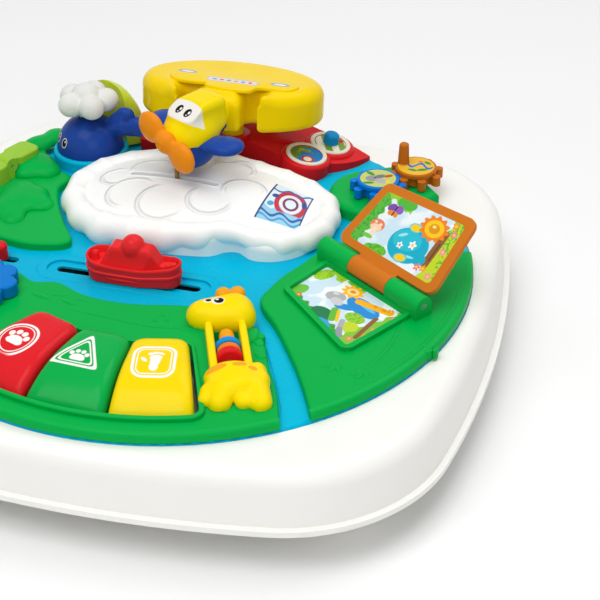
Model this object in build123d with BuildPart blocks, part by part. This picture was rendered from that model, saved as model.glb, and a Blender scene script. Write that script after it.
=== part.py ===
from build123d import *

import math
import os

# ---------------------------------------------------------------------------
# Musical activity table: a round-cornered play table top with toys on it.
# Millimetres. Z = 0 is the plane the four leg sockets stand on, X runs along
# the piano keys, and -Y is the side the keys face.
# ---------------------------------------------------------------------------

# Table outline and heights
table_half = 225.0          # half the overall width, the same both ways
side_arc_r = 700.0          # the four long, slightly bowed sides
corner_arc_r = 110.0        # the four round corners
flange_z = 28.0             # underside of the flange lip
flange_h = 4.0
skirt_step = 3.5            # how far the skirt stands in from the lip
skirt_taper = 8.0           # degrees
shoulder_r = 12.0
wall = 3.0
body_top = 66.0

# Round play panel
panel_r = 202.5
panel_gap = 0.5
deck_top = 68.0
deck_t = 3.0
deck_edge_r = 2.5
ledge_w = 8.0
ledge_z = 61.0
land_h = 6.0
land_edge_r = 2.2
land_r = 200.5

# Fits
running = 0.06              # radial clearance of a shaft that turns
seat = 0.02                 # radial clearance of a pin that stands still
gap = 0.4                   # clearance between pieces that move past each other
snug = 0.1                  # clearance between fixed pieces that nest

land_top = deck_top + land_h
deck_under = deck_top - deck_t


def polar(radius, degrees):
    """Point at this radius and bearing from the panel's centre."""
    return (radius * math.cos(math.radians(degrees)), radius * math.sin(math.radians(degrees)))


def table_outline(inset):
    """Face of the table's outline drawn in by inset: four side arcs joined by four corner arcs."""
    half = table_half - inset
    side_r = side_arc_r - inset
    reach = side_arc_r - table_half
    arcs = side_arc_r - corner_arc_r
    centre = (math.sqrt(2 * arcs**2 - reach**2) - reach) / 2
    tangent = Vector(side_r * centre / arcs, side_r * (centre + reach) / arcs - reach)
    corner_mid = centre + (corner_arc_r - inset) / math.sqrt(2)
    with BuildSketch() as outline:
        with BuildLine():
            for quarter in range(4):
                turn = 90 * quarter
                start = tangent.rotate(Axis.Z, turn)
                end = Vector(-tangent.X, tangent.Y).rotate(Axis.Z, turn)
                ThreePointArc(start, Vector(0, half).rotate(Axis.Z, turn), end)
                corner = Vector(-corner_mid, corner_mid).rotate(Axis.Z, turn)
                following = Vector(-tangent.Y, tangent.X).rotate(Axis.Z, turn)
                ThreePointArc(end, corner, following)
        make_face()
    return outline.sketch


def shore_outline(first_angle, points, last_angle, through_angle, radius=land_r):
    """Face bounded by a smooth shore through the points and an arc of the panel's rim."""
    with BuildSketch() as outline:
        with BuildLine():
            shore = Spline(polar(radius, first_angle), *points, polar(radius, last_angle))
            ThreePointArc(shore @ 1, polar(radius, through_angle), shore @ 0)
        make_face()
    return outline.sketch


def finish(piece, name):
    """Label a finished piece and write its file."""
    piece.part.label = name
    export_step(piece.part, f"parts/{name}.step")


os.makedirs("parts", exist_ok=True)

# ---------------------------------------------------------------------------
# Upper housing: lip, tapered skirt, rounded shoulder, round well with a ledge
# ---------------------------------------------------------------------------
well_r = panel_r + panel_gap
ledge_t = 3.0
well_wall = 3.0
screw_boss_r = 4.5
screw_core_r = 1.6
screw_inset = 39.0
screw_x = table_half - screw_inset
screw_y = 92.0
screw_places = [(sx * a, sy * b) for a, b in ((screw_x, screw_y), (screw_y, screw_x)) for sx in (1, -1) for sy in (1, -1)]
socket_inset = 75.0
socket_place = table_half - socket_inset
socket_places = [(sx * socket_place, sy * socket_place) for sx in (1, -1) for sy in (1, -1)]
cover_t = 3.0
cover_inset = skirt_step + wall + 0.6
cover_top = flange_z + cover_t

with BuildPart() as body_cavity:
    with BuildSketch(Plane.XY.offset(flange_z)):
        add(table_outline(skirt_step + wall))
    extrude(amount=body_top - flange_z - wall, taper=skirt_taper)
    fillet(body_cavity.faces().sort_by(Axis.Z)[-1].edges(), shoulder_r - wall)

with BuildPart() as table_body:
    with BuildSketch(Plane.XY.offset(flange_z)):
        add(table_outline(skirt_step))
    extrude(amount=body_top - flange_z, taper=skirt_taper)
    fillet(table_body.faces().sort_by(Axis.Z)[-1].edges(), shoulder_r)
    with BuildSketch(Plane.XY.offset(flange_z)):
        add(table_outline(0))
    extrude(amount=flange_h)
    add(body_cavity.part, mode=Mode.SUBTRACT)
    # wall and ledge of the round well
    with BuildSketch(Plane.XY.offset(ledge_z - ledge_t)):
        Circle(well_r + well_wall)
    extrude(amount=body_top - wall - (ledge_z - ledge_t) + 0.5)
    with BuildSketch(Plane.XY.offset(ledge_z)):
        Circle(well_r)
    extrude(amount=body_top, mode=Mode.SUBTRACT)
    with BuildSketch(Plane.XY.offset(flange_z)):
        Circle(well_r - ledge_w)
    extrude(amount=body_top, mode=Mode.SUBTRACT)
    # screw bosses reach down to the cover
    with BuildSketch(Plane.XY.offset(cover_top)):
        with Locations(*screw_places):
            Circle(screw_boss_r)
            Circle(screw_core_r, mode=Mode.SUBTRACT)
    extrude(amount=body_top - wall - cover_top + 0.5)
finish(table_body, "table_body")

# ---------------------------------------------------------------------------
# Lower housing: flat cover, and the tub below it for the battery pocket and the speaker
# ---------------------------------------------------------------------------
tub_l = 190.0
tub_w = 130.0
tub_z = 3.0
tub_wall = 2.5
tub_corner_r = 16.0
socket_r = 21.0
socket_bore_r = 17.5
socket_h = 46.0
socket_depth = 43.0
socket_flange_r = 26.0
socket_flange_t = 3.0
pocket_x = 48.0
pocket_l = 64.0
pocket_w = 58.0
pocket_h = 20.0
speaker_x = -48.0
speaker_r = 28.0
slot_w = 3.0
slot_pitch = 8.0
screw_r = 1.5
screw_head_r = 3.2
screw_head_h = 1.8
screw_l = 14.0
switch_x = -4.0
switch_slot_l = 14.0
switch_slot_w = 6.0
board_post_r = 3.0
board_post_x = 28.0
board_post_y = 20.0
board_l = 74.0
board_w = 52.0
board_t = 1.6
board_z = cover_top + 3.0

with BuildPart() as bottom_cover:
    with BuildSketch(Plane.XY.offset(flange_z)):
        add(table_outline(cover_inset))
    extrude(amount=cover_t)
    with BuildSketch(Plane.XY.offset(flange_z)):
        RectangleRounded(tub_l - 2 * tub_wall, tub_w - 2 * tub_wall, tub_corner_r - tub_wall)
        with Locations(*screw_places):
            Circle(screw_r + snug)
        with Locations(*socket_places):
            Circle(socket_r + snug)
    extrude(amount=cover_t, mode=Mode.SUBTRACT)
finish(bottom_cover, "bottom_cover")

with BuildPart() as cover_tub:
    with BuildSketch(Plane.XY.offset(tub_z)):
        RectangleRounded(tub_l, tub_w, tub_corner_r)
    extrude(amount=flange_z - tub_z)
    fillet(cover_tub.faces().sort_by(Axis.Z)[0].edges(), tub_wall)
    with BuildSketch(Plane.XY.offset(tub_z + tub_wall)):
        RectangleRounded(tub_l - 2 * tub_wall, tub_w - 2 * tub_wall, tub_corner_r - tub_wall)
    extrude(amount=body_top, mode=Mode.SUBTRACT)
    # battery pocket, open below
    with BuildSketch(Plane.XY.offset(tub_z)):
        with Locations((pocket_x, 0)):
            Rectangle(pocket_l + 2 * tub_wall, pocket_w + 2 * tub_wall)
    extrude(amount=pocket_h + tub_wall)
    with BuildSketch(Plane.XY.offset(tub_z)):
        with Locations((pocket_x, 0)):
            Rectangle(pocket_l, pocket_w)
    extrude(amount=pocket_h, mode=Mode.SUBTRACT)
    # four posts on the pocket's roof carry the circuit board
    with BuildSketch(Plane.XY.offset(tub_z + pocket_h + tub_wall)):
        with Locations((pocket_x, 0)):
            with GridLocations(2 * board_post_x, 2 * board_post_y, 2, 2):
                Circle(board_post_r)
    extrude(amount=board_z - tub_z - pocket_h - tub_wall)
    # speaker slots and the slot for the power switch
    with BuildSketch(Plane.XY.offset(tub_z)):
        for row in (-2, -1, 0, 1, 2):
            half_chord = math.sqrt((speaker_r - 7) ** 2 - (row * slot_pitch) ** 2)
            with Locations((speaker_x, row * slot_pitch)):
                SlotOverall(2 * half_chord, slot_w)
        with Locations((switch_x, 0)):
            SlotOverall(switch_slot_l, switch_slot_w, rotation=90)
    extrude(amount=tub_wall, mode=Mode.SUBTRACT)
finish(cover_tub, "cover_tub")

with BuildPart() as leg_sockets:
    with BuildSketch():
        with Locations(*socket_places):
            Circle(socket_r)
    extrude(amount=socket_h)
    with BuildSketch(Plane.XY.offset(flange_z - socket_flange_t)):
        with Locations(*socket_places):
            Circle(socket_flange_r)
    extrude(amount=socket_flange_t)
    with BuildSketch():
        with Locations(*socket_places):
            Circle(socket_bore_r)
    extrude(amount=socket_depth, mode=Mode.SUBTRACT)
finish(leg_sockets, "leg_sockets")

with BuildPart() as cover_screws:
    with BuildSketch(Plane.XY.offset(flange_z - screw_head_h)):
        with Locations(*screw_places):
            Circle(screw_head_r)
    extrude(amount=screw_head_h)
    with BuildSketch(Plane.XY.offset(flange_z)):
        with Locations(*screw_places):
            Circle(screw_r)
    extrude(amount=screw_l)
finish(cover_screws, "cover_screws")

# Battery door with its screw, batteries and contacts
door_t = 2.5
battery_r = 7.1
battery_l = 50.0
battery_pitch = 16.0
contact_t = 0.8
battery_z = tub_z + door_t + 1.0 + battery_r
door_screw_y = pocket_w / 2 - 5.0
door_screw_l = 6.0

with BuildPart() as battery_door:
    with BuildSketch(Plane.XY.offset(tub_z)):
        with Locations((pocket_x, 0)):
            Rectangle(pocket_l - 2 * gap, pocket_w - 2 * gap)
        with Locations((pocket_x, door_screw_y)):
            Circle(screw_r + snug, mode=Mode.SUBTRACT)
    extrude(amount=door_t)
finish(battery_door, "battery_door")

with BuildPart() as battery_door_screw:
    with BuildSketch(Plane.XY.offset(tub_z - screw_head_h)):
        with Locations((pocket_x, door_screw_y)):
            Circle(screw_head_r)
    extrude(amount=screw_head_h)
    with BuildSketch(Plane.XY.offset(tub_z)):
        with Locations((pocket_x, door_screw_y)):
            Circle(screw_r)
    extrude(amount=door_screw_l)
finish(battery_door_screw, "battery_door_screw")

with BuildPart() as batteries:
    for place in (-1, 0, 1):
        with BuildSketch(Plane.YZ.offset(pocket_x - battery_l / 2)):
            with Locations((place * battery_pitch - 3, battery_z)):
                Circle(battery_r)
        extrude(amount=battery_l - 2)
        with BuildSketch(Plane.YZ.offset(pocket_x + battery_l / 2 - 2)):
            with Locations((place * battery_pitch - 3, battery_z)):
                Circle(battery_r / 3)
        extrude(amount=2)
finish(batteries, "batteries")

with BuildPart() as battery_contacts:
    for side in (-1, 1):
        with BuildSketch(Plane.YZ.offset(pocket_x + side * (battery_l / 2 + contact_t / 2))):
            with Locations((-3, battery_z)):
                Rectangle(3 * battery_pitch - 2, 10)
        extrude(amount=contact_t / 2, both=True)
finish(battery_contacts, "battery_contacts")

with BuildPart() as speaker:
    with BuildSketch(Plane.XY.offset(tub_z + tub_wall)):
        with Locations((speaker_x, 0)):
            Circle(speaker_r)
    extrude(amount=3)
    with BuildSketch(Plane.XY.offset(tub_z + tub_wall + 3)):
        with Locations((speaker_x, 0)):
            Circle(speaker_r - 4)
    extrude(amount=8, taper=35)
    with BuildSketch(Plane.XY.offset(tub_z + tub_wall + 10)):
        with Locations((speaker_x, 0)):
            Circle(14)
    extrude(amount=8)
finish(speaker, "speaker")

with BuildPart() as circuit_board:
    with BuildSketch(Plane.XY.offset(board_z)):
        with Locations((pocket_x, 0)):
            Rectangle(board_l, board_w)
    extrude(amount=board_t)
    with BuildSketch(Plane.XY.offset(board_z + board_t)):
        with Locations((pocket_x - 14, 6)):
            Rectangle(18, 18)
        with Locations((pocket_x + 16, -9)):
            Rectangle(12, 8)
        with Locations((pocket_x + 16, 12)):
            Circle(4)
    extrude(amount=3)
finish(circuit_board, "circuit_board")

switch_travel = 3.5
with BuildPart() as power_switch:
    with BuildSketch(Plane.XY.offset(tub_z + tub_wall + gap)):
        with Locations((switch_x, 0)):
            Rectangle(switch_slot_w + 5, switch_slot_l + 2 * switch_travel + 2)
    extrude(amount=2)
    with BuildSketch(Plane.XY.offset(tub_z - 1.5)):
        with Locations((switch_x, 0)):
            SlotOverall(switch_slot_l - 2 * switch_travel - 2 * gap, switch_slot_w - 2 * gap, rotation=90)
    extrude(amount=1.5 + tub_wall + gap)
finish(power_switch, "power_switch")

# ---------------------------------------------------------------------------
# Round blue sea deck with the boat's trough, the slots and the whale's pool
# ---------------------------------------------------------------------------
deck_rim = 3.0
boat_slot_x = -27.0
boat_x = -22.0              # where the boat stands along its slot
boat_y = -31.0
boat_slot_l = 104.0
boat_slot_w = 7.0
boat_trough_l = 118.0
boat_trough_w = 19.0
trough_depth = 1.5
fish_x = -127.0
fish_y = -31.0
fish_slot_x = -140.0
fish_slot_l = 64.0
whale_x = -116.0
whale_y = 125.0
whale_r = 26.0
pool_r = 29.0
pool_h = 10.0
button_x = -113.5
button_y = 147.5
button_turn = 37.0          # bearing of the button's long axis
button_travel = 3.0
button_bore = 12.0
button_post_r = 3.5
button_post_x = button_x + polar(18, button_turn)[0]
button_post_y = button_y + polar(18, button_turn)[1]
button_z = deck_top + button_travel + gap
well_in_r = 114.0
well_out_r = 188.0
well_start = -120.2
well_end = -67.3
well_corner_r = 6.0
tray_wall = 3.0
tray_floor = 2.5
tray_z = 48.0
hinge_room = 10.0
lamp_x = 45.0
lamp_y = 60.0


def fan_outline(inner, outer, start, end, corner):
    """Round-cornered fan between two radii and two bearings."""
    middle = (start + end) / 2
    with BuildSketch() as fan:
        with BuildLine():
            inside = ThreePointArc(polar(inner, end), polar(inner, middle), polar(inner, start))
            outside = ThreePointArc(polar(outer, start), polar(outer, middle), polar(outer, end))
            Line(inside @ 1, outside @ 0)
            Line(outside @ 1, inside @ 0)
        make_face()
        fillet(fan.vertices(), corner)
    return fan.sketch


with BuildPart() as sea_deck:
    with BuildSketch(Plane.XY.offset(ledge_z)):
        Circle(panel_r)
    extrude(amount=deck_top - ledge_z)
    fillet(sea_deck.faces().sort_by(Axis.Z)[-1].edges(), deck_edge_r)
    with BuildSketch(Plane.XY.offset(ledge_z)):
        Circle(panel_r - deck_rim)
    extrude(amount=deck_under - ledge_z, mode=Mode.SUBTRACT)
    # the whale's pool
    with BuildSketch(Plane.XY.offset(deck_top)):
        with Locations((whale_x, whale_y)):
            Circle(pool_r)
    extrude(amount=pool_h)
    fillet(sea_deck.faces().sort_by(Axis.Z)[-1].edges(), deck_edge_r)
    # guide post of the lime button
    with BuildSketch(Plane.XY.offset(deck_top)):
        with Locations((button_post_x, button_post_y)):
            Circle(button_post_r)
    extrude(amount=button_bore - 2)
    # boat trough and the slots
    with BuildSketch(Plane.XY.offset(deck_top)):
        with Locations((boat_slot_x, boat_y)):
            SlotOverall(boat_trough_l, boat_trough_w)
    extrude(amount=-trough_depth, mode=Mode.SUBTRACT)
    with BuildSketch(Plane.XY.offset(deck_under)):
        with Locations((boat_slot_x, boat_y)):
            SlotOverall(boat_slot_l, boat_slot_w)
        with Locations((fish_slot_x, fish_y)):
            SlotOverall(fish_slot_l, boat_slot_w)
    extrude(amount=deck_t, mode=Mode.SUBTRACT)
    # opening for the keys
    with BuildSketch(Plane.XY.offset(deck_under)):
        add(fan_outline(well_in_r, well_out_r, well_start, well_end, well_corner_r))
    extrude(amount=deck_t, mode=Mode.SUBTRACT)
finish(sea_deck, "sea_deck")

# ---------------------------------------------------------------------------
# Green lands
# ---------------------------------------------------------------------------
giraffe_x = 69.0
giraffe_y = -107.0
giraffe_turn = 22.3
neck_l = 40.0
neck_w = 16.0
neck_y = 4.0
well_rim_w = 3.0
well_rim_h = 3.0
giraffe_plane = Plane(origin=(giraffe_x, giraffe_y, land_top), x_dir=polar(1, giraffe_turn) + (0,), z_dir=(0, 0, 1))
book_x = 98.0
book_y = 22.0
book_turn = -35.4
book_axis_h = 8.0
book_l = 99.0
knuckle_r = 7.0
knuckle_l = 31.0
book_pin_r = 2.5
card_t = 0.6
ridge_w = 4.0
ridge_h = 3.0
book_plane = Plane(
    origin=(book_x, book_y, land_top + book_axis_h), x_dir=polar(1, book_turn) + (0,), z_dir=(0, 0, 1)
)

with BuildPart() as front_land:
    with BuildSketch(Plane.XY.offset(deck_top)):
        add(
            shore_outline(
                -54.1,
                [
                    (111, -142), (104, -126), (97, -112), (88, -90), (80, -77), (67, -67), (50, -63),
                    (30, -61), (12, -64), (-6, -68), (-27, -69), (-51, -64), (-70, -57), (-82, -60),
                    (-97, -52), (-113, -48), (-132, -51), (-160, -54),
                ],
                197,
                250,
            )
        )
    extrude(amount=land_h)
    fillet(front_land.faces().sort_by(Axis.Z)[-1].edges(), land_edge_r)
    with BuildSketch(Plane.XY.offset(land_top - land_h / 2)):
        add(
            fan_outline(
                well_in_r - well_rim_w, well_out_r + well_rim_w, well_start - 1.5, well_end + 1.0,
                well_corner_r + well_rim_w,
            )
        )
    extrude(amount=land_h / 2 + well_rim_h)
    fillet(front_land.faces().sort_by(Axis.Z)[-1].edges(), well_rim_w / 3)
    with BuildSketch(Plane.XY.offset(deck_top)):
        add(fan_outline(well_in_r, well_out_r, well_start, well_end, well_corner_r))
    extrude(amount=land_h + well_rim_h, mode=Mode.SUBTRACT)
    with BuildSketch(giraffe_plane.offset(-land_h)):
        with Locations((0, neck_y)):
            RectangleRounded(neck_w, neck_l, 3)
    extrude(amount=land_h, mode=Mode.SUBTRACT)
finish(front_land, "front_land")

with BuildPart() as left_land:
    with BuildSketch(Plane.XY.offset(deck_top)):
        add(
            shore_outline(
                184,
                [
                    (-175, -12), (-150, -11), (-131, -13), (-113, -16), (-95, -14), (-80, -6), (-88, 10),
                    (-100, 28), (-108, 42), (-114, 55), (-117, 68), (-115, 82), (-124, 88), (-136, 90),
                    (-144, 98), (-148, 110),
                ],
                142,
                163,
            )
        )
    extrude(amount=land_h)
    fillet(left_land.faces().sort_by(Axis.Z)[-1].edges(), land_edge_r)
finish(left_land, "left_land")

picture_corners = [(12, -8), (19, -47), (94, -62), (90, -8)]


def picture_outline(grow):
    """The book's picture panel, grown all round, with round corners."""
    with BuildSketch() as panel:
        with BuildLine():
            Polyline(*picture_corners, close=True)
        make_face()
        fillet(panel.vertices(), 2.0)
        if grow > 0:
            offset(amount=grow)
    return panel.sketch


with BuildPart() as right_land:
    with BuildSketch(Plane.XY.offset(deck_top)):
        add(
            shore_outline(
                15.5,
                [
                    (165, 55), (130, 53), (104, 43), (92, 26), (84, 6), (76, -12), (72, -28), (70, -40),
                    (75, -51), (86, -65), (99, -85), (111, -105), (122, -126),
                ],
                -48.4,
                -17,
            )
        )
    extrude(amount=land_h)
    fillet(right_land.faces().sort_by(Axis.Z)[-1].edges(), land_edge_r)
    # ridge round the picture and the recess the card lies in
    with BuildSketch(book_plane.offset(-book_axis_h - land_h / 2)):
        add(picture_outline(ridge_w))
    extrude(amount=land_h / 2 + ridge_h)
    with BuildSketch(book_plane.offset(-book_axis_h - card_t)):
        add(picture_outline(0))
    extrude(amount=land_h, mode=Mode.SUBTRACT)
    # room for the page's knuckle, then the land's two knuckles on webs
    with BuildSketch(Plane(origin=book_plane.origin, x_dir=(0, 0, 1), z_dir=book_plane.x_dir)):
        Circle(knuckle_r + gap)
    extrude(amount=book_l, mode=Mode.SUBTRACT)
    for start in (0, book_l - knuckle_l):
        with BuildSketch(Plane(origin=book_plane.from_local_coords((start, 0, 0)), x_dir=(0, 0, 1), z_dir=book_plane.x_dir)):
            Circle(knuckle_r)
            with Locations((-book_axis_h / 2 - 1, 0)):
                Rectangle(book_axis_h + 2, 2 * knuckle_r)
        extrude(amount=knuckle_l)
    with BuildSketch(Plane(origin=book_plane.origin, x_dir=(0, 0, 1), z_dir=book_plane.x_dir)):
        Circle(book_pin_r + seat)
    extrude(amount=book_l, mode=Mode.SUBTRACT)
finish(right_land, "right_land")

with BuildPart() as picture_card:
    with BuildSketch(book_plane.offset(-book_axis_h - card_t)):
        add(picture_outline(0))
    extrude(amount=card_t)
finish(picture_card, "picture_card")

# ---------------------------------------------------------------------------
# Green mound with the two meshing gears on posts
# ---------------------------------------------------------------------------
mound_h = 10.0
mound_edge_r = 4.0
blue_gear_x = 115.0
blue_gear_y = 112.0
gear_distance = 34.6
gear_bearing = 48.0
gear_teeth = 8
tooth_r = 3.2
tooth_ring_r = 17.5
gear_hub_r = 13.0
gear_t = 7.0
gear_cap_r = 15.5
gear_cap_t = 3.0
gear_post_r = 3.0
handle_r = 3.4
handle_h = 17.0
handle_place = 10.0
mound_top = deck_top + mound_h
gear_z = mound_top + 1.0
brown_gear_x = blue_gear_x + polar(gear_distance, gear_bearing)[0]
brown_gear_y = blue_gear_y + polar(gear_distance, gear_bearing)[1]

with BuildPart() as gear_mound:
    with BuildSketch(Plane.XY.offset(deck_top)):
        with Locations((blue_gear_x - 2, blue_gear_y + 2)):
            Circle(34)
        with Locations((brown_gear_x, brown_gear_y)):
            Circle(26)
        make_hull()
        Circle(land_r, mode=Mode.INTERSECT)
    extrude(amount=mound_h)
    fillet(gear_mound.faces().sort_by(Axis.Z)[-1].edges(), mound_edge_r)
finish(gear_mound, "gear_mound")

with BuildPart() as gear_posts:
    with BuildSketch(Plane.XY.offset(mound_top)):
        with Locations((blue_gear_x, blue_gear_y), (brown_gear_x, brown_gear_y)):
            Circle(gear_post_r + 2)
    extrude(amount=gear_z - mound_top - gap)
    with BuildSketch(Plane.XY.offset(mound_top)):
        with Locations((blue_gear_x, blue_gear_y), (brown_gear_x, brown_gear_y)):
            Circle(gear_post_r)
    extrude(amount=gear_z - mound_top + gear_t)
finish(gear_posts, "gear_posts")


def gear_blank(x, y, first_tooth):
    """Play gear with round bulb teeth on short necks, a cap plate and a blind bore."""
    with BuildPart() as blank:
        with BuildSketch(Plane.XY.offset(gear_z)):
            with Locations((x, y)):
                Circle(gear_hub_r)
                with PolarLocations(tooth_ring_r, gear_teeth, start_angle=first_tooth):
                    Circle(tooth_r)
                with PolarLocations(tooth_ring_r / 2, gear_teeth, start_angle=first_tooth):
                    Rectangle(tooth_ring_r, 1.3 * tooth_r)
        extrude(amount=gear_t)
        with BuildSketch(Plane.XY.offset(gear_z + gear_t + gap)):
            with Locations((x, y)):
                Circle(gear_cap_r)
        extrude(amount=gear_cap_t)
        fillet(blank.faces().sort_by(Axis.Z)[-1].edges(), gear_cap_t / 3)
        with BuildSketch(Plane.XY.offset(gear_z + gear_t)):
            with Locations((x, y)):
                Circle(gear_hub_r - 1)
        extrude(amount=gap)
        with BuildSketch(Plane.XY.offset(gear_z)):
            with Locations((x, y)):
                Circle(gear_post_r + running)
        extrude(amount=gear_t + gap, mode=Mode.SUBTRACT)
    return blank.part


with BuildPart() as blue_gear:
    add(gear_blank(blue_gear_x, blue_gear_y, gear_bearing))
finish(blue_gear, "blue_gear")

with BuildPart() as brown_gear:
    add(gear_blank(brown_gear_x, brown_gear_y, gear_bearing + 180 + 180 / gear_teeth))
    with BuildSketch(Plane.XY.offset(gear_z + gear_t + gear_cap_t)):
        with Locations((brown_gear_x - handle_place, brown_gear_y + 2)):
            Circle(handle_r + 1)
    extrude(amount=handle_h, taper=3)
    fillet(brown_gear.faces().sort_by(Axis.Z)[-1].edges(), handle_r / 2)
finish(brown_gear, "brown_gear")

# ---------------------------------------------------------------------------
# Red dash with two sloping gauges, the wheel's column and the lime button
# ---------------------------------------------------------------------------
dash_h = 20.0
dash_slope = 11.0
dash_ridge_right = 10.0
dash_ridge_left = -34.0
dash_edge_r = 3.0
gauge_r = 12.5
bezel_w = 2.8
bezel_h = 3.0
gauge_t = 1.2
gauge_x = 51.0
gauge_y = 147.0
dial_x = 63.0
dial_y = 173.5
dial_shaft_r = 2.5
dial_shaft_l = 3.5
knob_r = 6.0
knob_h = 9.0
wheel_x = -10.0
wheel_y = 160.0
wheel_z = 134.0
wheel_tilt = 7.4
wheel_half_l = 71.0
wheel_half_w = 45.0
wheel_t = 29.0
wheel_edge_r = 10.0
wheel_notch_x = 25.0
wheel_notch_w = 13.0
wheel_notch_d = 24.0
column_r = 9.0
column_seat_r = 14.0
spigot_r = 5.0
spigot_l = 12.0
button_half_l = 33.0
button_half_w = 14.0
button_cut = 5.0            # where its thin end beside the pool is cut off
button_edge_r = 11.0
button_top = 121.5
dash_top = deck_top + dash_h
right_slope = Plane(
    origin=(dash_ridge_right, 0, dash_top),
    z_dir=(math.sin(math.radians(dash_slope)), 0, math.cos(math.radians(dash_slope))),
    x_dir=(math.cos(math.radians(dash_slope)), 0, -math.sin(math.radians(dash_slope))),
)
left_slope = Plane(
    origin=(dash_ridge_left, 0, dash_top),
    z_dir=(-math.sin(math.radians(dash_slope)), 0, math.cos(math.radians(dash_slope))),
    x_dir=(math.cos(math.radians(dash_slope)), 0, math.sin(math.radians(dash_slope))),
)
wheel_plane = Plane(
    origin=(wheel_x, wheel_y, wheel_z),
    x_dir=(1, 0, 0),
    z_dir=(0, math.sin(math.radians(wheel_tilt)), math.cos(math.radians(wheel_tilt))),
)
column_l = (wheel_z - dash_top) / math.cos(math.radians(wheel_tilt)) - wheel_t
slope_cos = math.cos(math.radians(dash_slope))
gauge_place = ((gauge_x - dash_ridge_right) / slope_cos, gauge_y)
dial_place = ((dial_x - dash_ridge_right) / slope_cos, dial_y)
button_side = Plane(
    origin=(button_x, button_y, button_z), x_dir=polar(1, button_turn) + (0,), z_dir=polar(1, button_turn - 90) + (0,)
)

with BuildPart() as dash_base:
    with BuildSketch(Plane.XY.offset(deck_top)):
        add(
            shore_outline(
                114,
                [
                    (-79, 172), (-80, 160), (-84, 149), (-80, 143.5), (-68, 145), (-40, 147), (-10, 146), (14, 143),
                    (32, 139), (52, 142), (71, 149), (85, 161),
                ],
                61.9,
                88,
            )
        )
    extrude(amount=dash_h)
    with BuildSketch(Plane.XY.offset(deck_top)):
        with Locations((button_x, button_y)):
            Rectangle(2 * (button_half_l + 1), 2 * (button_half_w + 1), rotation=button_turn)
    extrude(amount=dash_h, mode=Mode.SUBTRACT)
    split(bisect_by=right_slope, keep=Keep.BOTTOM)
    split(bisect_by=left_slope, keep=Keep.BOTTOM)
    with BuildSketch(right_slope.offset(-dash_h)):
        with Locations(gauge_place, dial_place):
            Circle(gauge_r + bezel_w)
    extrude(amount=dash_h + bezel_h)
    with BuildSketch(right_slope.offset(bezel_h - gauge_t - 0.6)):
        with Locations(gauge_place, dial_place):
            Circle(gauge_r)
    extrude(amount=bezel_h, mode=Mode.SUBTRACT)
    with BuildSketch(right_slope.offset(bezel_h - gauge_t - 0.6)):
        with Locations(dial_place):
            Circle(dial_shaft_r + running)
    extrude(amount=-dial_shaft_l - gap, mode=Mode.SUBTRACT)
    # seat and bore of the wheel's column
    with BuildSketch(wheel_plane.offset(-wheel_t - column_l - 4)):
        Circle(column_seat_r)
    extrude(amount=6)
    with BuildSketch(wheel_plane.offset(-wheel_t - column_l + gap)):
        Circle(column_r + gap)
    extrude(amount=10, mode=Mode.SUBTRACT)
    with BuildSketch(wheel_plane.offset(-wheel_t - column_l + gap)):
        Circle(spigot_r + running)
    extrude(amount=-spigot_l - 1, mode=Mode.SUBTRACT)
    split(bisect_by=Plane.XY.offset(deck_top), keep=Keep.TOP)
finish(dash_base, "dash_base")

with BuildPart() as dash_gauge:
    with BuildSketch(right_slope.offset(bezel_h - gauge_t - 0.6)):
        with Locations(gauge_place):
            Circle(gauge_r)
    extrude(amount=gauge_t)
finish(dash_gauge, "dash_gauge")

with BuildPart() as dash_dial:
    with BuildSketch(right_slope.offset(bezel_h - 0.6 - gauge_t + gap)):
        with Locations(dial_place):
            Circle(gauge_r - gap)
    extrude(amount=gauge_t)
    with BuildSketch(right_slope.offset(bezel_h - 0.6 + gap)):
        with Locations(dial_place):
            Circle(knob_r)
    extrude(amount=knob_h)
    fillet(dash_dial.faces().sort_by(Axis.Z)[-1].edges(), knob_r / 2)
    with BuildSketch(right_slope.offset(bezel_h - 0.6 - gauge_t + gap)):
        with Locations(dial_place):
            Circle(dial_shaft_r)
    extrude(amount=-dial_shaft_l)
finish(dash_dial, "dash_dial")

with BuildPart() as steering_wheel:
    with BuildSketch(wheel_plane) as wheel_face:
        Ellipse(wheel_half_l, wheel_half_w)
        with Locations((wheel_notch_x, -wheel_half_w), (-wheel_notch_x, -wheel_half_w)):
            RectangleRounded(wheel_notch_w, 2 * wheel_notch_d, wheel_notch_w / 2 - 0.5, mode=Mode.SUBTRACT)
        fillet(wheel_face.vertices().group_by(Axis.Y)[0], 4)
    extrude(amount=-wheel_t)
    wheel_axis = Axis(wheel_plane.origin, wheel_plane.z_dir)
    fillet(steering_wheel.faces().sort_by(wheel_axis)[-1].edges(), wheel_edge_r)
    fillet(steering_wheel.faces().sort_by(wheel_axis)[0].edges(), wheel_edge_r / 2)
    with BuildSketch(wheel_plane.offset(-wheel_t)):
        Circle(column_r)
    extrude(amount=-column_l + 2 * gap)
    with BuildSketch(wheel_plane.offset(-wheel_t - column_l + 2 * gap)):
        Circle(spigot_r)
    extrude(amount=-spigot_l)
finish(steering_wheel, "steering_wheel")

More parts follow.
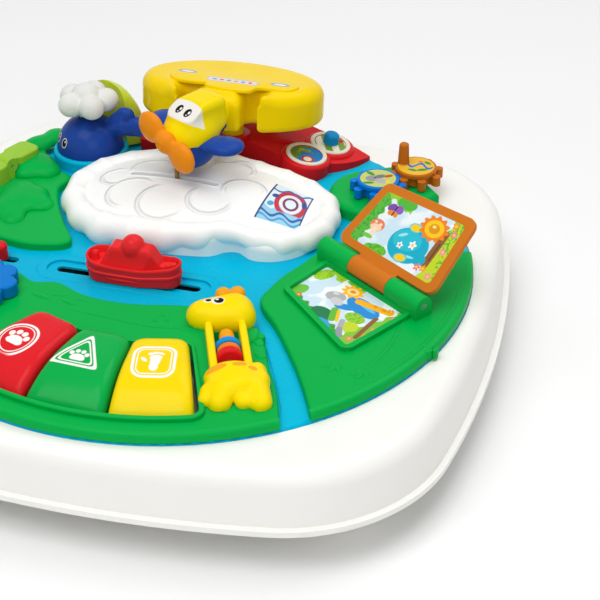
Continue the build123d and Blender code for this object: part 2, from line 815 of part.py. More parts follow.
with BuildPart() as lime_button:
    with BuildSketch(button_side):
        Ellipse(button_half_l, button_top - button_z)
        Rectangle(2 * button_half_l, button_top, align=(Align.CENTER, Align.MAX), mode=Mode.SUBTRACT)
    extrude(amount=button_half_w, both=True)
    fillet(lime_button.edges().filter_by(GeomType.ELLIPSE), button_edge_r)
    with BuildSketch(Plane.XY.offset(button_z)):
        Circle(land_r - 1)
    extrude(amount=button_top, mode=Mode.INTERSECT)
    with BuildSketch(Plane.XY.offset(button_z)):
        with Locations((button_post_x, button_post_y)):
            Circle(button_post_r + running)
    extrude(amount=button_bore, mode=Mode.SUBTRACT)
    with BuildSketch(Plane.XY.offset(button_z)):
        with Locations((whale_x, whale_y)):
            Circle(pool_r + 0.6)
    extrude(amount=button_top, mode=Mode.SUBTRACT)
    with BuildSketch(button_side):
        with Locations((-button_cut, 0)):
            Rectangle(button_half_l, 2 * button_top, align=(Align.MAX, Align.CENTER))
    extrude(amount=2 * button_half_w, both=True, mode=Mode.SUBTRACT)
finish(lime_button, "lime_button")

# ---------------------------------------------------------------------------
# Translucent cloud with the plane's slot, the lamp and the guide rail inside
# ---------------------------------------------------------------------------
cloud_x = -6.0
cloud_y = 64.0
cloud_h = 27.0
cloud_crown_l = 135.0       # half the length and width over which the dome's two arcs come down
cloud_crown_w = 88.0
cloud_wall = 2.5
cloud_edge_r = 7.0
plane_slot_l = 70.0
plane_slot_w = 4.2
plane_slot_turn = -6.2
plane_slot_x = -26.7
plane_slot_y = 66.3
post_r = 1.6
post_offset = 2.7
guide_l = 92.0
guide_w = 18.0
guide_h = 14.0
carriage_l = 16.0
carriage_w = 9.0
carriage_h = 5.0
lamp_r = 4.0
lamp_h = 9.0
lamp_board_r = 9.0
cloud_points = [
    (95, 66), (90, 83), (78, 96), (62, 108), (42, 113), (20, 118), (-5, 126), (-40, 128), (-68, 122),
    (-88, 108), (-101, 90), (-106, 70), (-105, 52), (-98, 37), (-86, 22), (-70, 10), (-50, 5),
    (-25, 3), (5, 6), (23, 12), (33, 20), (43, 14), (58, 12), (74, 20), (85, 34), (92, 48),
]
cloud_slot = Plane(
    origin=(plane_slot_x, plane_slot_y, deck_top), x_dir=polar(1, plane_slot_turn) + (0,), z_dir=(0, 0, 1)
)


def cloud_shell(inset):
    """Solid cloud: the scalloped outline filled up to a long low dome, drawn in by inset."""
    axis_z = deck_top + cloud_h - (cloud_crown_w**2 + cloud_h**2) / (2 * cloud_h)
    rim = Spline(*cloud_points, periodic=True, mode=Mode.PRIVATE)
    steps = [step / (2 * len(cloud_points)) for step in range(2 * len(cloud_points))]
    inner_points = [rim @ step + (rim % step).rotate(Axis.Z, 90) * inset for step in steps]
    with BuildPart() as shell:
        with BuildSketch(Plane.XY.offset(deck_top)):
            with BuildLine():
                Spline(*inner_points, periodic=True)
            make_face()
        extrude(amount=cloud_h)
        with BuildSketch(Plane.XZ.offset(-cloud_y)):
            with BuildLine():
                crown = ThreePointArc(
                    (cloud_x - cloud_crown_l, deck_top - inset),
                    (cloud_x, deck_top + cloud_h - inset),
                    (cloud_x + cloud_crown_l, deck_top - inset),
                )
                Polyline(
                    crown @ 1, (cloud_x + cloud_crown_l, axis_z), (cloud_x - cloud_crown_l, axis_z), crown @ 0
                )
            make_face()
        revolve(axis=Axis((0, cloud_y, axis_z), (1, 0, 0)), mode=Mode.INTERSECT)
        fillet(shell.faces().sort_by(Axis.Z)[-1].edges(), cloud_edge_r - inset)
    return shell.part


with BuildPart() as cloud_cover:
    add(cloud_shell(0))
    add(cloud_shell(cloud_wall), mode=Mode.SUBTRACT)
    with BuildSketch(cloud_slot):
        SlotOverall(plane_slot_l, plane_slot_w)
    extrude(amount=2 * cloud_h, mode=Mode.SUBTRACT)
finish(cloud_cover, "cloud_cover")

with BuildPart() as plane_guide:
    with BuildSketch(cloud_slot):
        RectangleRounded(guide_l, guide_w, 3)
    extrude(amount=guide_h)
    with BuildSketch(cloud_slot.offset(guide_h - carriage_h)):
        RectangleRounded(guide_l - 6, carriage_w + 2 * gap, 1)
    extrude(amount=carriage_h, mode=Mode.SUBTRACT)
finish(plane_guide, "plane_guide")

with BuildPart() as cloud_lamp:
    with BuildSketch(Plane.XY.offset(deck_top)):
        with Locations((lamp_x, lamp_y)):
            Circle(lamp_board_r)
    extrude(amount=board_t)
    with BuildSketch(Plane.XY.offset(deck_top + board_t)):
        with Locations((lamp_x, lamp_y)):
            Circle(lamp_r)
    extrude(amount=lamp_h)
    fillet(cloud_lamp.faces().sort_by(Axis.Z)[-1].edges(), lamp_r * 0.9)
finish(cloud_lamp, "cloud_lamp")

# ---------------------------------------------------------------------------
# Plane: carriage and post, blue hull with wings, yellow cabin, propeller
# ---------------------------------------------------------------------------
plane_heading = -118.0
plane_z = 126.0
fuselage_nose = 9.0
fuselage_tail = -46.0
fuselage_r = 17.5
wing_half_span = 44.0
wing_chord = 20.0
wing_t = 6.0
wing_place = -20.0
canopy_front = -4.0
canopy_top_front = -15.0
canopy_top_back = -30.0
canopy_back = -40.0
canopy_h = 24.0
canopy_half_w = 13.0
canopy_edge_r = 5.0
propeller_half_l = 27.5
propeller_w = 15.0
propeller_t = 4.0
propeller_hub_r = 6.5
propeller_turn = -27.0
propeller_pin_r = 1.5
propeller_gap = 1.2
carriage_z = deck_top + guide_h - carriage_h + gap
post_x = plane_slot_x + polar(post_offset, plane_slot_turn)[0]
post_y = plane_slot_y + polar(post_offset, plane_slot_turn)[1]
plane_level = Plane(origin=(post_x, post_y, plane_z), x_dir=polar(1, plane_heading) + (0,), z_dir=(0, 0, 1))
nose_plane = Plane(
    origin=plane_level.from_local_coords((fuselage_nose, 0, 0)), x_dir=plane_level.y_dir, z_dir=plane_level.x_dir
)

with BuildPart() as fuselage:
    side_plane = Plane(origin=plane_level.origin, x_dir=plane_level.x_dir, z_dir=-plane_level.y_dir)
    with BuildSketch(side_plane):
        with BuildLine():
            outline = Spline(
                (fuselage_tail, 0),
                (fuselage_tail + 4, fuselage_r * 0.45),
                (fuselage_tail * 0.6, fuselage_r * 0.86),
                (-fuselage_r * 0.7, fuselage_r),
                (fuselage_nose - 3, fuselage_r * 0.62),
                (fuselage_nose, fuselage_r * 0.4),
                tangents=[(0, 1), (0.2, -1)],
            )
            Line(outline @ 1, (fuselage_nose, 0))
            Line((fuselage_nose, 0), outline @ 0)
        make_face()
    revolve(axis=Axis(plane_level.origin, plane_level.x_dir))

with BuildPart() as plane_hull:
    add(fuselage.part)
    split(bisect_by=plane_level, keep=Keep.BOTTOM)
    with BuildSketch(plane_level.offset(-wing_t)):
        with Locations((wing_place, 0)):
            SlotOverall(2 * wing_half_span, wing_chord, rotation=90)
    extrude(amount=wing_t)
    with BuildSketch(plane_level.offset(-fuselage_r - 4)):
        Circle(post_r + seat)
    extrude(amount=fuselage_r - 4, mode=Mode.SUBTRACT)
    with BuildSketch(nose_plane):
        Circle(propeller_pin_r + seat)
    extrude(amount=-8, mode=Mode.SUBTRACT)
finish(plane_hull, "plane_hull")

with BuildPart() as plane_cabin:
    add(fuselage.part)
    split(bisect_by=plane_level, keep=Keep.TOP)
    with BuildSketch(side_plane.offset(-canopy_half_w)):
        with BuildLine():
            Polyline(
                (canopy_front, fuselage_r * 0.4),
                (canopy_top_front, canopy_h),
                (canopy_top_back, canopy_h),
                (canopy_back, fuselage_r * 0.4),
                close=True,
            )
        make_face()
    extrude(amount=2 * canopy_half_w)
    roof = plane_cabin.edges().filter_by(lambda edge: edge.center().Z > plane_z + fuselage_r + 1)
    fillet(roof, canopy_edge_r)
    with BuildSketch(nose_plane):
        Circle(propeller_pin_r + seat)
    extrude(amount=-8, mode=Mode.SUBTRACT)
finish(plane_cabin, "plane_cabin")

with BuildPart() as plane_carriage:
    with BuildSketch(Plane(origin=(post_x, post_y, carriage_z), x_dir=cloud_slot.x_dir, z_dir=(0, 0, 1))):
        RectangleRounded(carriage_l, carriage_w, 1)
    extrude(amount=carriage_h)
    with BuildSketch(Plane.XY.offset(carriage_z + carriage_h)):
        with Locations((post_x, post_y)):
            Circle(post_r)
    extrude(amount=plane_z - 8 - carriage_z - carriage_h)
finish(plane_carriage, "plane_carriage")

with BuildPart() as propeller_pin:
    with BuildSketch(nose_plane.offset(-7.5)):
        Circle(propeller_pin_r)
    extrude(amount=7.5 + propeller_gap + propeller_t + gap)
    with BuildSketch(nose_plane.offset(propeller_gap + propeller_t + gap)):
        Circle(propeller_pin_r + 1.5)
    extrude(amount=1.2)
finish(propeller_pin, "propeller_pin")

with BuildPart() as plane_propeller:
    with BuildSketch(nose_plane.offset(propeller_gap)):
        Circle(propeller_hub_r)
        with Locations(Rotation(0, 0, propeller_turn)):
            SlotOverall(2 * propeller_half_l, propeller_w)
            with Locations((0, propeller_w * 1.02), (0, -propeller_w * 1.02)):
                Circle(propeller_w * 0.7, mode=Mode.SUBTRACT)
        Circle(propeller_hub_r)
    extrude(amount=propeller_t)
    fillet(plane_propeller.edges().filter_by(GeomType.CIRCLE).group_by(Axis(nose_plane.origin, nose_plane.z_dir))[-1], 1.2)
    with BuildSketch(nose_plane):
        Circle(propeller_pin_r + running)
    extrude(amount=3 * propeller_t, mode=Mode.SUBTRACT)
finish(plane_propeller, "plane_propeller")

# ---------------------------------------------------------------------------
# Whale with its raised tail and the spinning spout
# ---------------------------------------------------------------------------
pool_top = deck_top + pool_h
tail_x = -79.0
tail_y = 119.5
tail_z = 103.0
tail_lobe_r = 6.5
tail_tip_r = 8.0
tail_t = 8.0
tail_turn = 15.0
tail_stem_r = 4.5
spout_lobes = 5
spout_lobe_r = 9.0
spout_ring_r = 13.5
spout_z = pool_top + whale_r + 3.0
spout_h = 17.0
spout_edge_r = 3.0
spout_pin_r = 1.5
spout_pin_depth = 9.0
pin_head_r = 3.2
pin_head_h = 1.4
tail_plane = Plane(
    origin=(tail_x, tail_y, tail_z), x_dir=polar(1, tail_turn) + (0,), z_dir=polar(1, tail_turn - 90) + (0,)
)
tail_reach = Vector(tail_x - whale_x, tail_y - whale_y, tail_z - pool_top - whale_r / 2)

with BuildPart() as whale_body:
    with BuildSketch(Plane.XZ.offset(-whale_y)):
        with BuildLine():
            flank = ThreePointArc(
                (whale_x + whale_r, pool_top),
                (whale_x + whale_r * math.sqrt(0.5), pool_top + whale_r * math.sqrt(0.5)),
                (whale_x, pool_top + whale_r),
            )
            Polyline(flank @ 1, (whale_x, pool_top), flank @ 0)
        make_face()
    revolve(axis=Axis((whale_x, whale_y, 0), (0, 0, 1)))
    with BuildSketch(Plane(origin=(whale_x, whale_y, pool_top + whale_r / 2), z_dir=tail_reach)):
        Circle(tail_stem_r)
    extrude(amount=tail_reach.length)
    with BuildSketch(tail_plane) as fluke:
        with Locations((-tail_lobe_r + 1, 4), (0, -3)):
            Circle(tail_lobe_r)
        with Locations((tail_lobe_r, 0)):
            Circle(tail_tip_r)
    extrude(amount=tail_t / 2, both=True)
    with BuildSketch(Plane.XY.offset(pool_top + whale_r - spout_pin_depth)):
        with Locations((whale_x, whale_y)):
            Circle(spout_pin_r + seat)
    extrude(amount=2 * spout_pin_depth, mode=Mode.SUBTRACT)
finish(whale_body, "whale_body")

with BuildPart() as whale_spout:
    with BuildSketch(Plane.XY.offset(spout_z)):
        with Locations((whale_x, whale_y)):
            Circle(spout_ring_r)
            with PolarLocations(spout_ring_r, spout_lobes, start_angle=18):
                Circle(spout_lobe_r)
    extrude(amount=spout_h)
    fillet(whale_spout.faces().sort_by(Axis.Z)[-1].edges(), spout_edge_r)
    fillet(whale_spout.faces().sort_by(Axis.Z)[0].edges(), spout_edge_r)
    with BuildSketch(Plane.XY.offset(spout_z)):
        with Locations((whale_x, whale_y)):
            Circle(spout_pin_r + running)
    extrude(amount=spout_h, mode=Mode.SUBTRACT)
finish(whale_spout, "whale_spout")

with BuildPart() as spout_pin:
    with BuildSketch(Plane.XY.offset(pool_top + whale_r - spout_pin_depth + 0.5)):
        with Locations((whale_x, whale_y)):
            Circle(spout_pin_r)
    extrude(amount=spout_pin_depth - 0.5 + 3.0 + spout_h + gap)
    with BuildSketch(Plane.XY.offset(spout_z + spout_h + gap)):
        with Locations((whale_x, whale_y)):
            Circle(pin_head_r)
    extrude(amount=pin_head_h)
finish(spout_pin, "spout_pin")

# ---------------------------------------------------------------------------
# Crocodile on the left land: scalloped body, lower jaw and opening upper jaw
# ---------------------------------------------------------------------------
croc_x = -166.0
croc_y = 72.0
croc_turn = 68.5
croc_h = 14.0
croc_edge_r = 2.0
croc_lobes = [(-44, 7.0), (-34, 9.5), (-22, 12.0), (-11, 13.0)]
snout_l = 30.0
snout_w = 20.0
snout_h = 6.5
jaw_pin_r = 1.5
jaw_pin_z = 10.0
jaw_barrel_r = 4.0
cheek_w = 3.0
croc_plane = Plane(origin=(croc_x, croc_y, land_top), x_dir=polar(1, croc_turn) + (0,), z_dir=(0, 0, 1))
jaw_axis_plane = Plane(
    origin=croc_plane.from_local_coords((0, 0, jaw_pin_z)), x_dir=croc_plane.x_dir, z_dir=-croc_plane.y_dir
)
cheek_in = snout_w / 2 - cheek_w + 1.0

with BuildPart() as crocodile_body:
    with BuildSketch(croc_plane):
        for lobe_x, lobe_r in croc_lobes:
            with Locations((lobe_x, 0)):
                Circle(lobe_r)
    extrude(amount=croc_h)
    fillet(crocodile_body.faces().sort_by(Axis.Z)[-1].edges(), croc_edge_r)
    with BuildSketch(croc_plane):
        with Locations((snout_l / 2 - 8, 0)):
            RectangleRounded(snout_l + 16, snout_w, 6)
    extrude(amount=snout_h - 2)
    with BuildSketch(jaw_axis_plane):
        Circle(jaw_barrel_r + 2)
        with Locations((-5, -2)):
            Rectangle(10, 2 * jaw_barrel_r)
        with Locations((-3, -jaw_pin_z + 3)):
            Rectangle(10, 6)
    extrude(amount=cheek_in + cheek_w, both=True)
    with BuildSketch(jaw_axis_plane):
        Circle(jaw_barrel_r + gap)
        with Locations((10, 4)):
            Rectangle(20, 2 * jaw_barrel_r + 12)
    extrude(amount=cheek_in, both=True, mode=Mode.SUBTRACT)
    with BuildSketch(croc_plane):
        with Locations((snout_l / 2 - 2, 0)):
            RectangleRounded(snout_l + 4, snout_w, 6)
    extrude(amount=snout_h - 2)
    with BuildSketch(jaw_axis_plane):
        Circle(jaw_pin_r + seat)
    extrude(amount=2 * snout_w, both=True, mode=Mode.SUBTRACT)
finish(crocodile_body, "crocodile_body")

with BuildPart() as crocodile_jaw:
    with BuildSketch(croc_plane.offset(snout_h)):
        with Locations((snout_l / 2 + 5, 0)):
            RectangleRounded(snout_l - 6, snout_w, 6)
        with Locations((8, 0)):
            Rectangle(16, 2 * cheek_in - 2 * gap)
    extrude(amount=jaw_pin_z + 3 - snout_h)
    fillet(crocodile_jaw.faces().sort_by(Axis.Z)[-1].edges(), 1.5)
    with BuildSketch(jaw_axis_plane):
        Circle(jaw_barrel_r)
    extrude(amount=cheek_in - gap, both=True)
    with BuildSketch(jaw_axis_plane):
        Circle(jaw_pin_r + running)
    extrude(amount=snout_w, both=True, mode=Mode.SUBTRACT)
finish(crocodile_jaw, "crocodile_jaw")

with BuildPart() as jaw_pin:
    with BuildSketch(jaw_axis_plane):
        Circle(jaw_pin_r)
    extrude(amount=cheek_in + cheek_w - 0.2, both=True)
finish(jaw_pin, "jaw_pin")

# ---------------------------------------------------------------------------
# Giraffe: head, two neck rails and body, with three rollers on a spindle
# ---------------------------------------------------------------------------
head_points = [(-22, 31), (-20, 18), (-12, 11), (14, 13), (21, 24), (20, 44), (-3, 50), (-17, 45)]
body_points = [
    (-16, -48), (-11, -60), (-3, -60), (-1, -52), (7, -52), (9, -62), (17, -65), (20, -46), (21, -20), (0, -17),
    (-19, -21),
]
head_h = 16.0
giraffe_body_h = 13.0
rail_x = 10.7
rail_w = 4.6
rail_h = 9.0
rail_start = -22.0
rail_end = 26.0
horn_places = [(2.6, 56), (10.7, 55)]
horn_r = 5.0
horn_stalk_r = 3.0
horn_root = 40.0
horn_z = 11.5
spindle_r = 1.5
spindle_z = 4.0
spindle_start = -24.0
spindle_end = 18.0
rollers = [("roller_blue", 0.5, 8.0, 5.0), ("roller_orange", -5.0, 7.6, 4.5), ("roller_red", -11.0, 8.2, 6.0)]


def plump(points, plane, height, corner_r, edge_r):
    """Block with a round-cornered outline and a rounded top edge."""
    with BuildPart() as block:
        with BuildSketch(plane) as face:
            with BuildLine():
                Polyline(*points, close=True)
            make_face()
            fillet(face.vertices(), corner_r)
        extrude(amount=height)
        fillet(block.faces().sort_by(Axis(plane.origin, plane.z_dir))[-1].edges(), edge_r)
    return block.part


def across(plane, y, z):
    """Plane square to the giraffe's neck at this distance along it, its centre at height z."""
    return Plane(origin=plane.from_local_coords((0, y, z)), x_dir=plane.x_dir, z_dir=plane.y_dir)


with BuildPart() as giraffe_body:
    add(plump(head_points, giraffe_plane, head_h, 4.0, 3.0))
    add(plump(body_points, giraffe_plane, giraffe_body_h, 2.4, 2.0))
    with BuildSketch(giraffe_plane):
        with Locations((-rail_x, (rail_start + rail_end) / 2), (rail_x, (rail_start + rail_end) / 2)):
            Rectangle(rail_w, rail_end - rail_start)
    extrude(amount=rail_h)
    with BuildSketch(across(giraffe_plane, spindle_start - 0.5, spindle_z)):
        Circle(spindle_r + seat)
    extrude(amount=spindle_end - spindle_start + 1, mode=Mode.SUBTRACT)
    for horn_x, horn_y in horn_places:
        with BuildSketch(across(giraffe_plane, horn_root, horn_z)):
            with Locations((horn_x, 0)):
                Circle(horn_stalk_r + seat)
        extrude(amount=horn_y - horn_root, mode=Mode.SUBTRACT)
finish(giraffe_body, "giraffe_body")

with BuildPart() as giraffe_horns:
    for horn_x, horn_y in horn_places:
        with BuildSketch(across(giraffe_plane, horn_root + 0.2, horn_z)):
            with Locations((horn_x, 0)):
                Circle(horn_stalk_r)
        extrude(amount=horn_y - horn_root)
        with Locations(giraffe_plane.from_local_coords((horn_x, horn_y, horn_z))):
            Sphere(min(horn_r, (horn_places[1][0] - horn_places[0][0]) / 2 - 0.1))
finish(giraffe_horns, "giraffe_horns")

with BuildPart() as bead_spindle:
    with BuildSketch(across(giraffe_plane, spindle_start, spindle_z)):
        Circle(spindle_r)
    extrude(amount=spindle_end - spindle_start)
finish(bead_spindle, "bead_spindle")

for roller_name, roller_y, roller_r, roller_w in rollers:
    with BuildPart() as roller:
        with BuildSketch(across(giraffe_plane, roller_y - roller_w / 2, spindle_z)):
            Circle(roller_r)
        extrude(amount=roller_w)
        fillet(roller.edges(), 1.4)
        with BuildSketch(across(giraffe_plane, roller_y - roller_w / 2, spindle_z)):
            Circle(spindle_r + running)
        extrude(amount=roller_w, mode=Mode.SUBTRACT)
    finish(roller, roller_name)

# ---------------------------------------------------------------------------
# Tug boat on its slot, with the retainer below the deck
# ---------------------------------------------------------------------------
boat_l = 68.0
boat_w = 24.0
boat_h = 17.0
bow_r = 6.5
gunwale_h = 8.0
cabin_l = 28.0
cabin_w = 17.0
cabin_h = 8.0
boat_dome_r = 8.5
slider_post_r = 3.0
retainer_r = 8.0
retainer_t = 3.0
boat_z = deck_top + gap
retainer_z = deck_under - gap - retainer_t

def boat_outline(inset):
    """Round-sterned, blunt-bowed outline of the boat, drawn in by inset."""
    with BuildSketch() as outline:
        with Locations((boat_x - boat_l / 2 + boat_w / 2, boat_y), (boat_x + 6, boat_y)):
            Circle(boat_w / 2 - inset)
        with Locations((boat_x + boat_l / 2 - bow_r, boat_y)):
            Circle(bow_r - inset)
        make_hull()
    return outline.sketch


with BuildPart() as tug_boat:
    with BuildSketch(Plane.XY.offset(boat_z)):
        add(boat_outline(2.0))
    extrude(amount=boat_h - gunwale_h)
    with BuildSketch(Plane.XY.offset(boat_z + boat_h - gunwale_h)):
        add(boat_outline(0))
    extrude(amount=gunwale_h)
    fillet(tug_boat.faces().sort_by(Axis.Z)[-1].edges(), 1.5)
    with BuildSketch(Plane.XY.offset(boat_z + boat_h)):
        with Locations((boat_x - 4, boat_y)):
            RectangleRounded(cabin_l, cabin_w, 5)
    extrude(amount=cabin_h)
    fillet(tug_boat.faces().sort_by(Axis.Z)[-1].edges(), 2)
    with Locations((boat_x - 4, boat_y, boat_z + boat_h + cabin_h - 3)):
        Sphere(boat_dome_r)
    with BuildSketch(Plane.XY.offset(retainer_z)):
        with Locations((boat_x, boat_y)):
            Circle(slider_post_r)
    extrude(amount=boat_z + 2 - retainer_z)
finish(tug_boat, "tug_boat")

with BuildPart() as boat_retainer:
    with BuildSketch(Plane.XY.offset(retainer_z)):
        with Locations((boat_x, boat_y)):
            Circle(retainer_r)
            Circle(slider_post_r + seat, mode=Mode.SUBTRACT)
    extrude(amount=retainer_t)
finish(boat_retainer, "boat_retainer")

# ---------------------------------------------------------------------------
# Red slide fish in the left slot and the flower gear on the front land
# ---------------------------------------------------------------------------
fish_l = 22.0
fish_w = 12.0
fish_h = 11.5
fish_foot_r = 5.0
flower_x = -112.0
flower_y = -80.0
flower_petals = 8
petal_r = 8.0
petal_ring_r = 18.0
flower_t = 9.0
flower_z = land_top + 1.0
flower_post_r = 3.0
flower_cap_r = 6.0
flower_cap_h = 3.0

with BuildPart() as slide_fish:
    with BuildSketch(Plane.XY.offset(boat_z)):
        with Locations((fish_x, fish_y)):
            RectangleRounded(fish_l, fish_w, fish_w / 2 - 0.2)
    extrude(amount=fish_h)
    fillet(slide_fish.faces().sort_by(Axis.Z)[-1].edges(), 3)
    with BuildSketch(Plane.XY.offset(retainer_z)):
        with Locations((fish_x, fish_y)):
            Circle(slider_post_r)
    extrude(amount=boat_z + 2 - retainer_z)
    with BuildSketch(Plane.XY.offset(retainer_z)):
        with Locations((fish_x, fish_y)):
            Circle(fish_foot_r)
    extrude(amount=retainer_t)
finish(slide_fish, "slide_fish")

with BuildPart() as flower_gear:
    with BuildSketch(Plane.XY.offset(flower_z)):
        with Locations((flower_x, flower_y)):
            Circle(petal_ring_r)
            with PolarLocations(petal_ring_r, flower_petals):
                Circle(petal_r)
    extrude(amount=flower_t)
    fillet(flower_gear.faces().sort_by(Axis.Z)[-1].edges(), 2)
    with BuildSketch(Plane.XY.offset(flower_z)):
        with Locations((flower_x, flower_y)):
            Circle(flower_post_r + running)
    extrude(amount=flower_t, mode=Mode.SUBTRACT)
finish(flower_gear, "flower_gear")

with BuildPart() as flower_post:
    with BuildSketch(Plane.XY.offset(land_top)):
        with Locations((flower_x, flower_y)):
            Circle(flower_post_r)
    extrude(amount=flower_z - land_top + flower_t + gap)
    with BuildSketch(Plane.XY.offset(land_top)):
        with Locations((flower_x, flower_y)):
            Circle(flower_post_r + 2)
    extrude(amount=flower_z - land_top - gap)
    with BuildSketch(Plane.XY.offset(flower_z + flower_t + gap)):
        with Locations((flower_x, flower_y)):
            Circle(flower_cap_r)
    extrude(amount=flower_cap_h)
    fillet(flower_post.faces().sort_by(Axis.Z)[-1].edges(), 1.5)
finish(flower_post, "flower_post")

# ---------------------------------------------------------------------------
# Three wedge keys on pins in a tray below the deck, with rubber domes
# ---------------------------------------------------------------------------
keys = [("key_red", -111.0), ("key_green", -93.75), ("key_yellow", -76.5)]
key_in_r = 117.0
key_out_r = 184.0
key_in_half = 16.4
key_out_half = 24.4
key_z = 62.0
key_top = 85.5
key_break_r = 160.0
key_front_h = 7.0
key_corner_r = 7.0
key_nose_corner_r = 11.0
key_edge_r = 3.0
key_wall = 2.6
plunger_r = 4.0
key_pivot_r = 111.0
key_pivot_z = 60.0
key_pin_r = 2.0
ear_half = 11.5
ear_r = 4.2
lug_in = 12.0
lug_out = 15.0
key_dome_place = 152.0
key_dome_r = 7.0
key_dome_h = 8.1
tray_top = deck_under


def key_frame(bearing, z=0.0):
    """Plane at height z whose x axis runs out along this bearing."""
    return Plane(origin=(0, 0, z), x_dir=polar(1, bearing) + (0,), z_dir=(0, 0, 1))


def key_side(bearing):
    """Upright plane along this bearing: x runs outwards, y runs up."""
    outward = Vector(*polar(1, bearing), 0)
    return Plane(origin=(0, 0, 0), x_dir=outward, z_dir=outward.cross(Vector(0, 0, 1)))


def key_plan(inset):
    """Plan of a key in its own frame, drawn in by inset."""
    with BuildSketch() as plan:
        with BuildLine():
            Polyline(
                (key_in_r, -key_in_half), (key_out_r, -key_out_half), (key_out_r, key_out_half),
                (key_in_r, key_in_half), close=True,
            )
        make_face()
        fillet(plan.vertices().group_by(Axis.X)[0], key_corner_r)
        fillet(plan.vertices().group_by(Axis.X)[-1], key_nose_corner_r)
        if inset > 0:
            offset(amount=-inset)
    return plan.sketch


with BuildPart() as key_tray:
    with BuildSketch(Plane.XY.offset(tray_z)):
        add(
            fan_outline(
                well_in_r - hinge_room - tray_wall, well_out_r + tray_wall, well_start - 1.8, well_end + 1.8, 8
            )
        )
    extrude(amount=tray_top - tray_z)
    with BuildSketch(Plane.XY.offset(tray_z + tray_floor)):
        add(fan_outline(well_in_r - hinge_room, well_out_r, well_start, well_end, 6))
    extrude(amount=tray_top, mode=Mode.SUBTRACT)
    for key_name, bearing in keys:
        with BuildSketch(key_frame(bearing, tray_z + tray_floor)):
            with Locations((key_pivot_r, (lug_in + lug_out) / 2), (key_pivot_r, -(lug_in + lug_out) / 2)):
                Rectangle(10, lug_out - lug_in)
        extrude(amount=tray_top - 0.5 - tray_z - tray_floor)
        with BuildSketch(key_side(bearing)):
            with Locations((key_pivot_r, key_pivot_z)):
                Circle(key_pin_r + seat)
        extrude(amount=lug_out + 0.5, both=True, mode=Mode.SUBTRACT)
finish(key_tray, "key_tray")

for key_name, bearing in keys:
    with BuildPart() as key:
        with BuildSketch(key_frame(bearing, key_z)):
            add(key_plan(0))
        extrude(amount=key_top - key_z)
        fillet(key.faces().sort_by(Axis.Z)[-1].edges(), key_edge_r)
        with BuildSketch(key_side(bearing)):
            with BuildLine():
                top_line = Line((key_in_r - 1, key_top - 0.5), (key_break_r, key_top))
                nose = ThreePointArc(
                    top_line @ 1,
                    ((key_break_r + key_out_r) / 2 + 3.4, (key_top + key_z + key_front_h) / 2 + 4.2),
                    (key_out_r + 0.01, key_z + key_front_h),
                )
                Polyline(nose @ 1, (key_out_r + 0.01, key_z), (key_in_r - 1, key_z), top_line @ 0)
            make_face()
        extrude(amount=2 * key_out_half, both=True, mode=Mode.INTERSECT)
        with BuildSketch(key_frame(bearing, key_z)):
            add(key_plan(key_wall))
        extrude(amount=key_front_h - 3, mode=Mode.SUBTRACT)
        with BuildSketch(key_side(bearing)):
            with Locations((key_pivot_r, key_pivot_z)):
                Circle(ear_r)
            with Locations((key_pivot_r + 5, key_pivot_z + 1)):
                Rectangle(10, 2 * ear_r - 2)
        extrude(amount=ear_half, both=True)
        with BuildSketch(key_frame(bearing, key_z)):
            with Locations((key_dome_place, 0)):
                Circle(plunger_r)
        extrude(amount=key_front_h)
        with BuildSketch(key_side(bearing)):
            with Locations((key_pivot_r, key_pivot_z)):
                Circle(key_pin_r + running)
        extrude(amount=2 * ear_half, both=True, mode=Mode.SUBTRACT)
    finish(key, key_name)

with BuildPart() as key_pivots:
    for key_name, bearing in keys:
        with BuildSketch(key_side(bearing)):
            with Locations((key_pivot_r, key_pivot_z)):
                Circle(key_pin_r)
        extrude(amount=lug_out + 0.3, both=True)
finish(key_pivots, "key_pivots")

with BuildPart() as key_domes:
    for key_name, bearing in keys:
        with BuildSketch(key_frame(bearing, tray_z + tray_floor)):
            with Locations((key_dome_place, 0)):
                Circle(key_dome_r)
        extrude(amount=key_dome_h, taper=20)
finish(key_domes, "key_domes")

# ---------------------------------------------------------------------------
# Picture book: the page on its pin, with a printed card in each face
# ---------------------------------------------------------------------------
page_points = [(6, -8), (14, -60), (96, -66), (100, -8)]
page_card_points = [(14, -14), (20, -54), (90, -59), (93, -14)]
page_t = 4.0
page_corner_r = 7.0
page_knuckle_start = knuckle_l + gap
page_knuckle_l = book_l - 2 * knuckle_l - 2 * gap
page_open = 139.0
book_axis = Axis(book_plane.origin, book_plane.x_dir)
book_side = Plane(origin=book_plane.origin, x_dir=(0, 0, 1), z_dir=book_plane.x_dir)


def page_sheet(points, corner_r, z, thickness):
    """Flat sheet of the closed page between heights z and z + thickness about the hinge axis."""
    with BuildPart() as sheet:
        with BuildSketch(book_plane.offset(z)) as face:
            with BuildLine():
                Polyline(*points, close=True)
            make_face()
            fillet(face.vertices(), corner_r)
        extrude(amount=thickness)
    return sheet.part


with BuildPart() as closed_page:
    add(page_sheet(page_points, page_corner_r, -page_t / 2, page_t))
    for side in (0, 1):
        fillet(closed_page.faces().sort_by(Axis.Z)[-side].edges(), 0.8)
    with BuildSketch(book_side.offset(page_knuckle_start)):
        Circle(knuckle_r)
        with Locations((0, 8)):
            Rectangle(page_t, 16)
    extrude(amount=page_knuckle_l)
    add(page_sheet(page_card_points, 3.0, page_t / 2 - card_t, card_t), mode=Mode.SUBTRACT)
    add(page_sheet(page_card_points, 3.0, -page_t / 2, card_t), mode=Mode.SUBTRACT)
    with BuildSketch(book_side):
        Circle(book_pin_r + running)
    extrude(amount=book_l, mode=Mode.SUBTRACT)

with BuildPart() as book_page:
    add(closed_page.part.rotate(book_axis, -page_open))
finish(book_page, "book_page")

with BuildPart() as closed_cards:
    add(page_sheet(page_card_points, 3.0, page_t / 2 - card_t, card_t))
    add(page_sheet(page_card_points, 3.0, -page_t / 2, card_t))

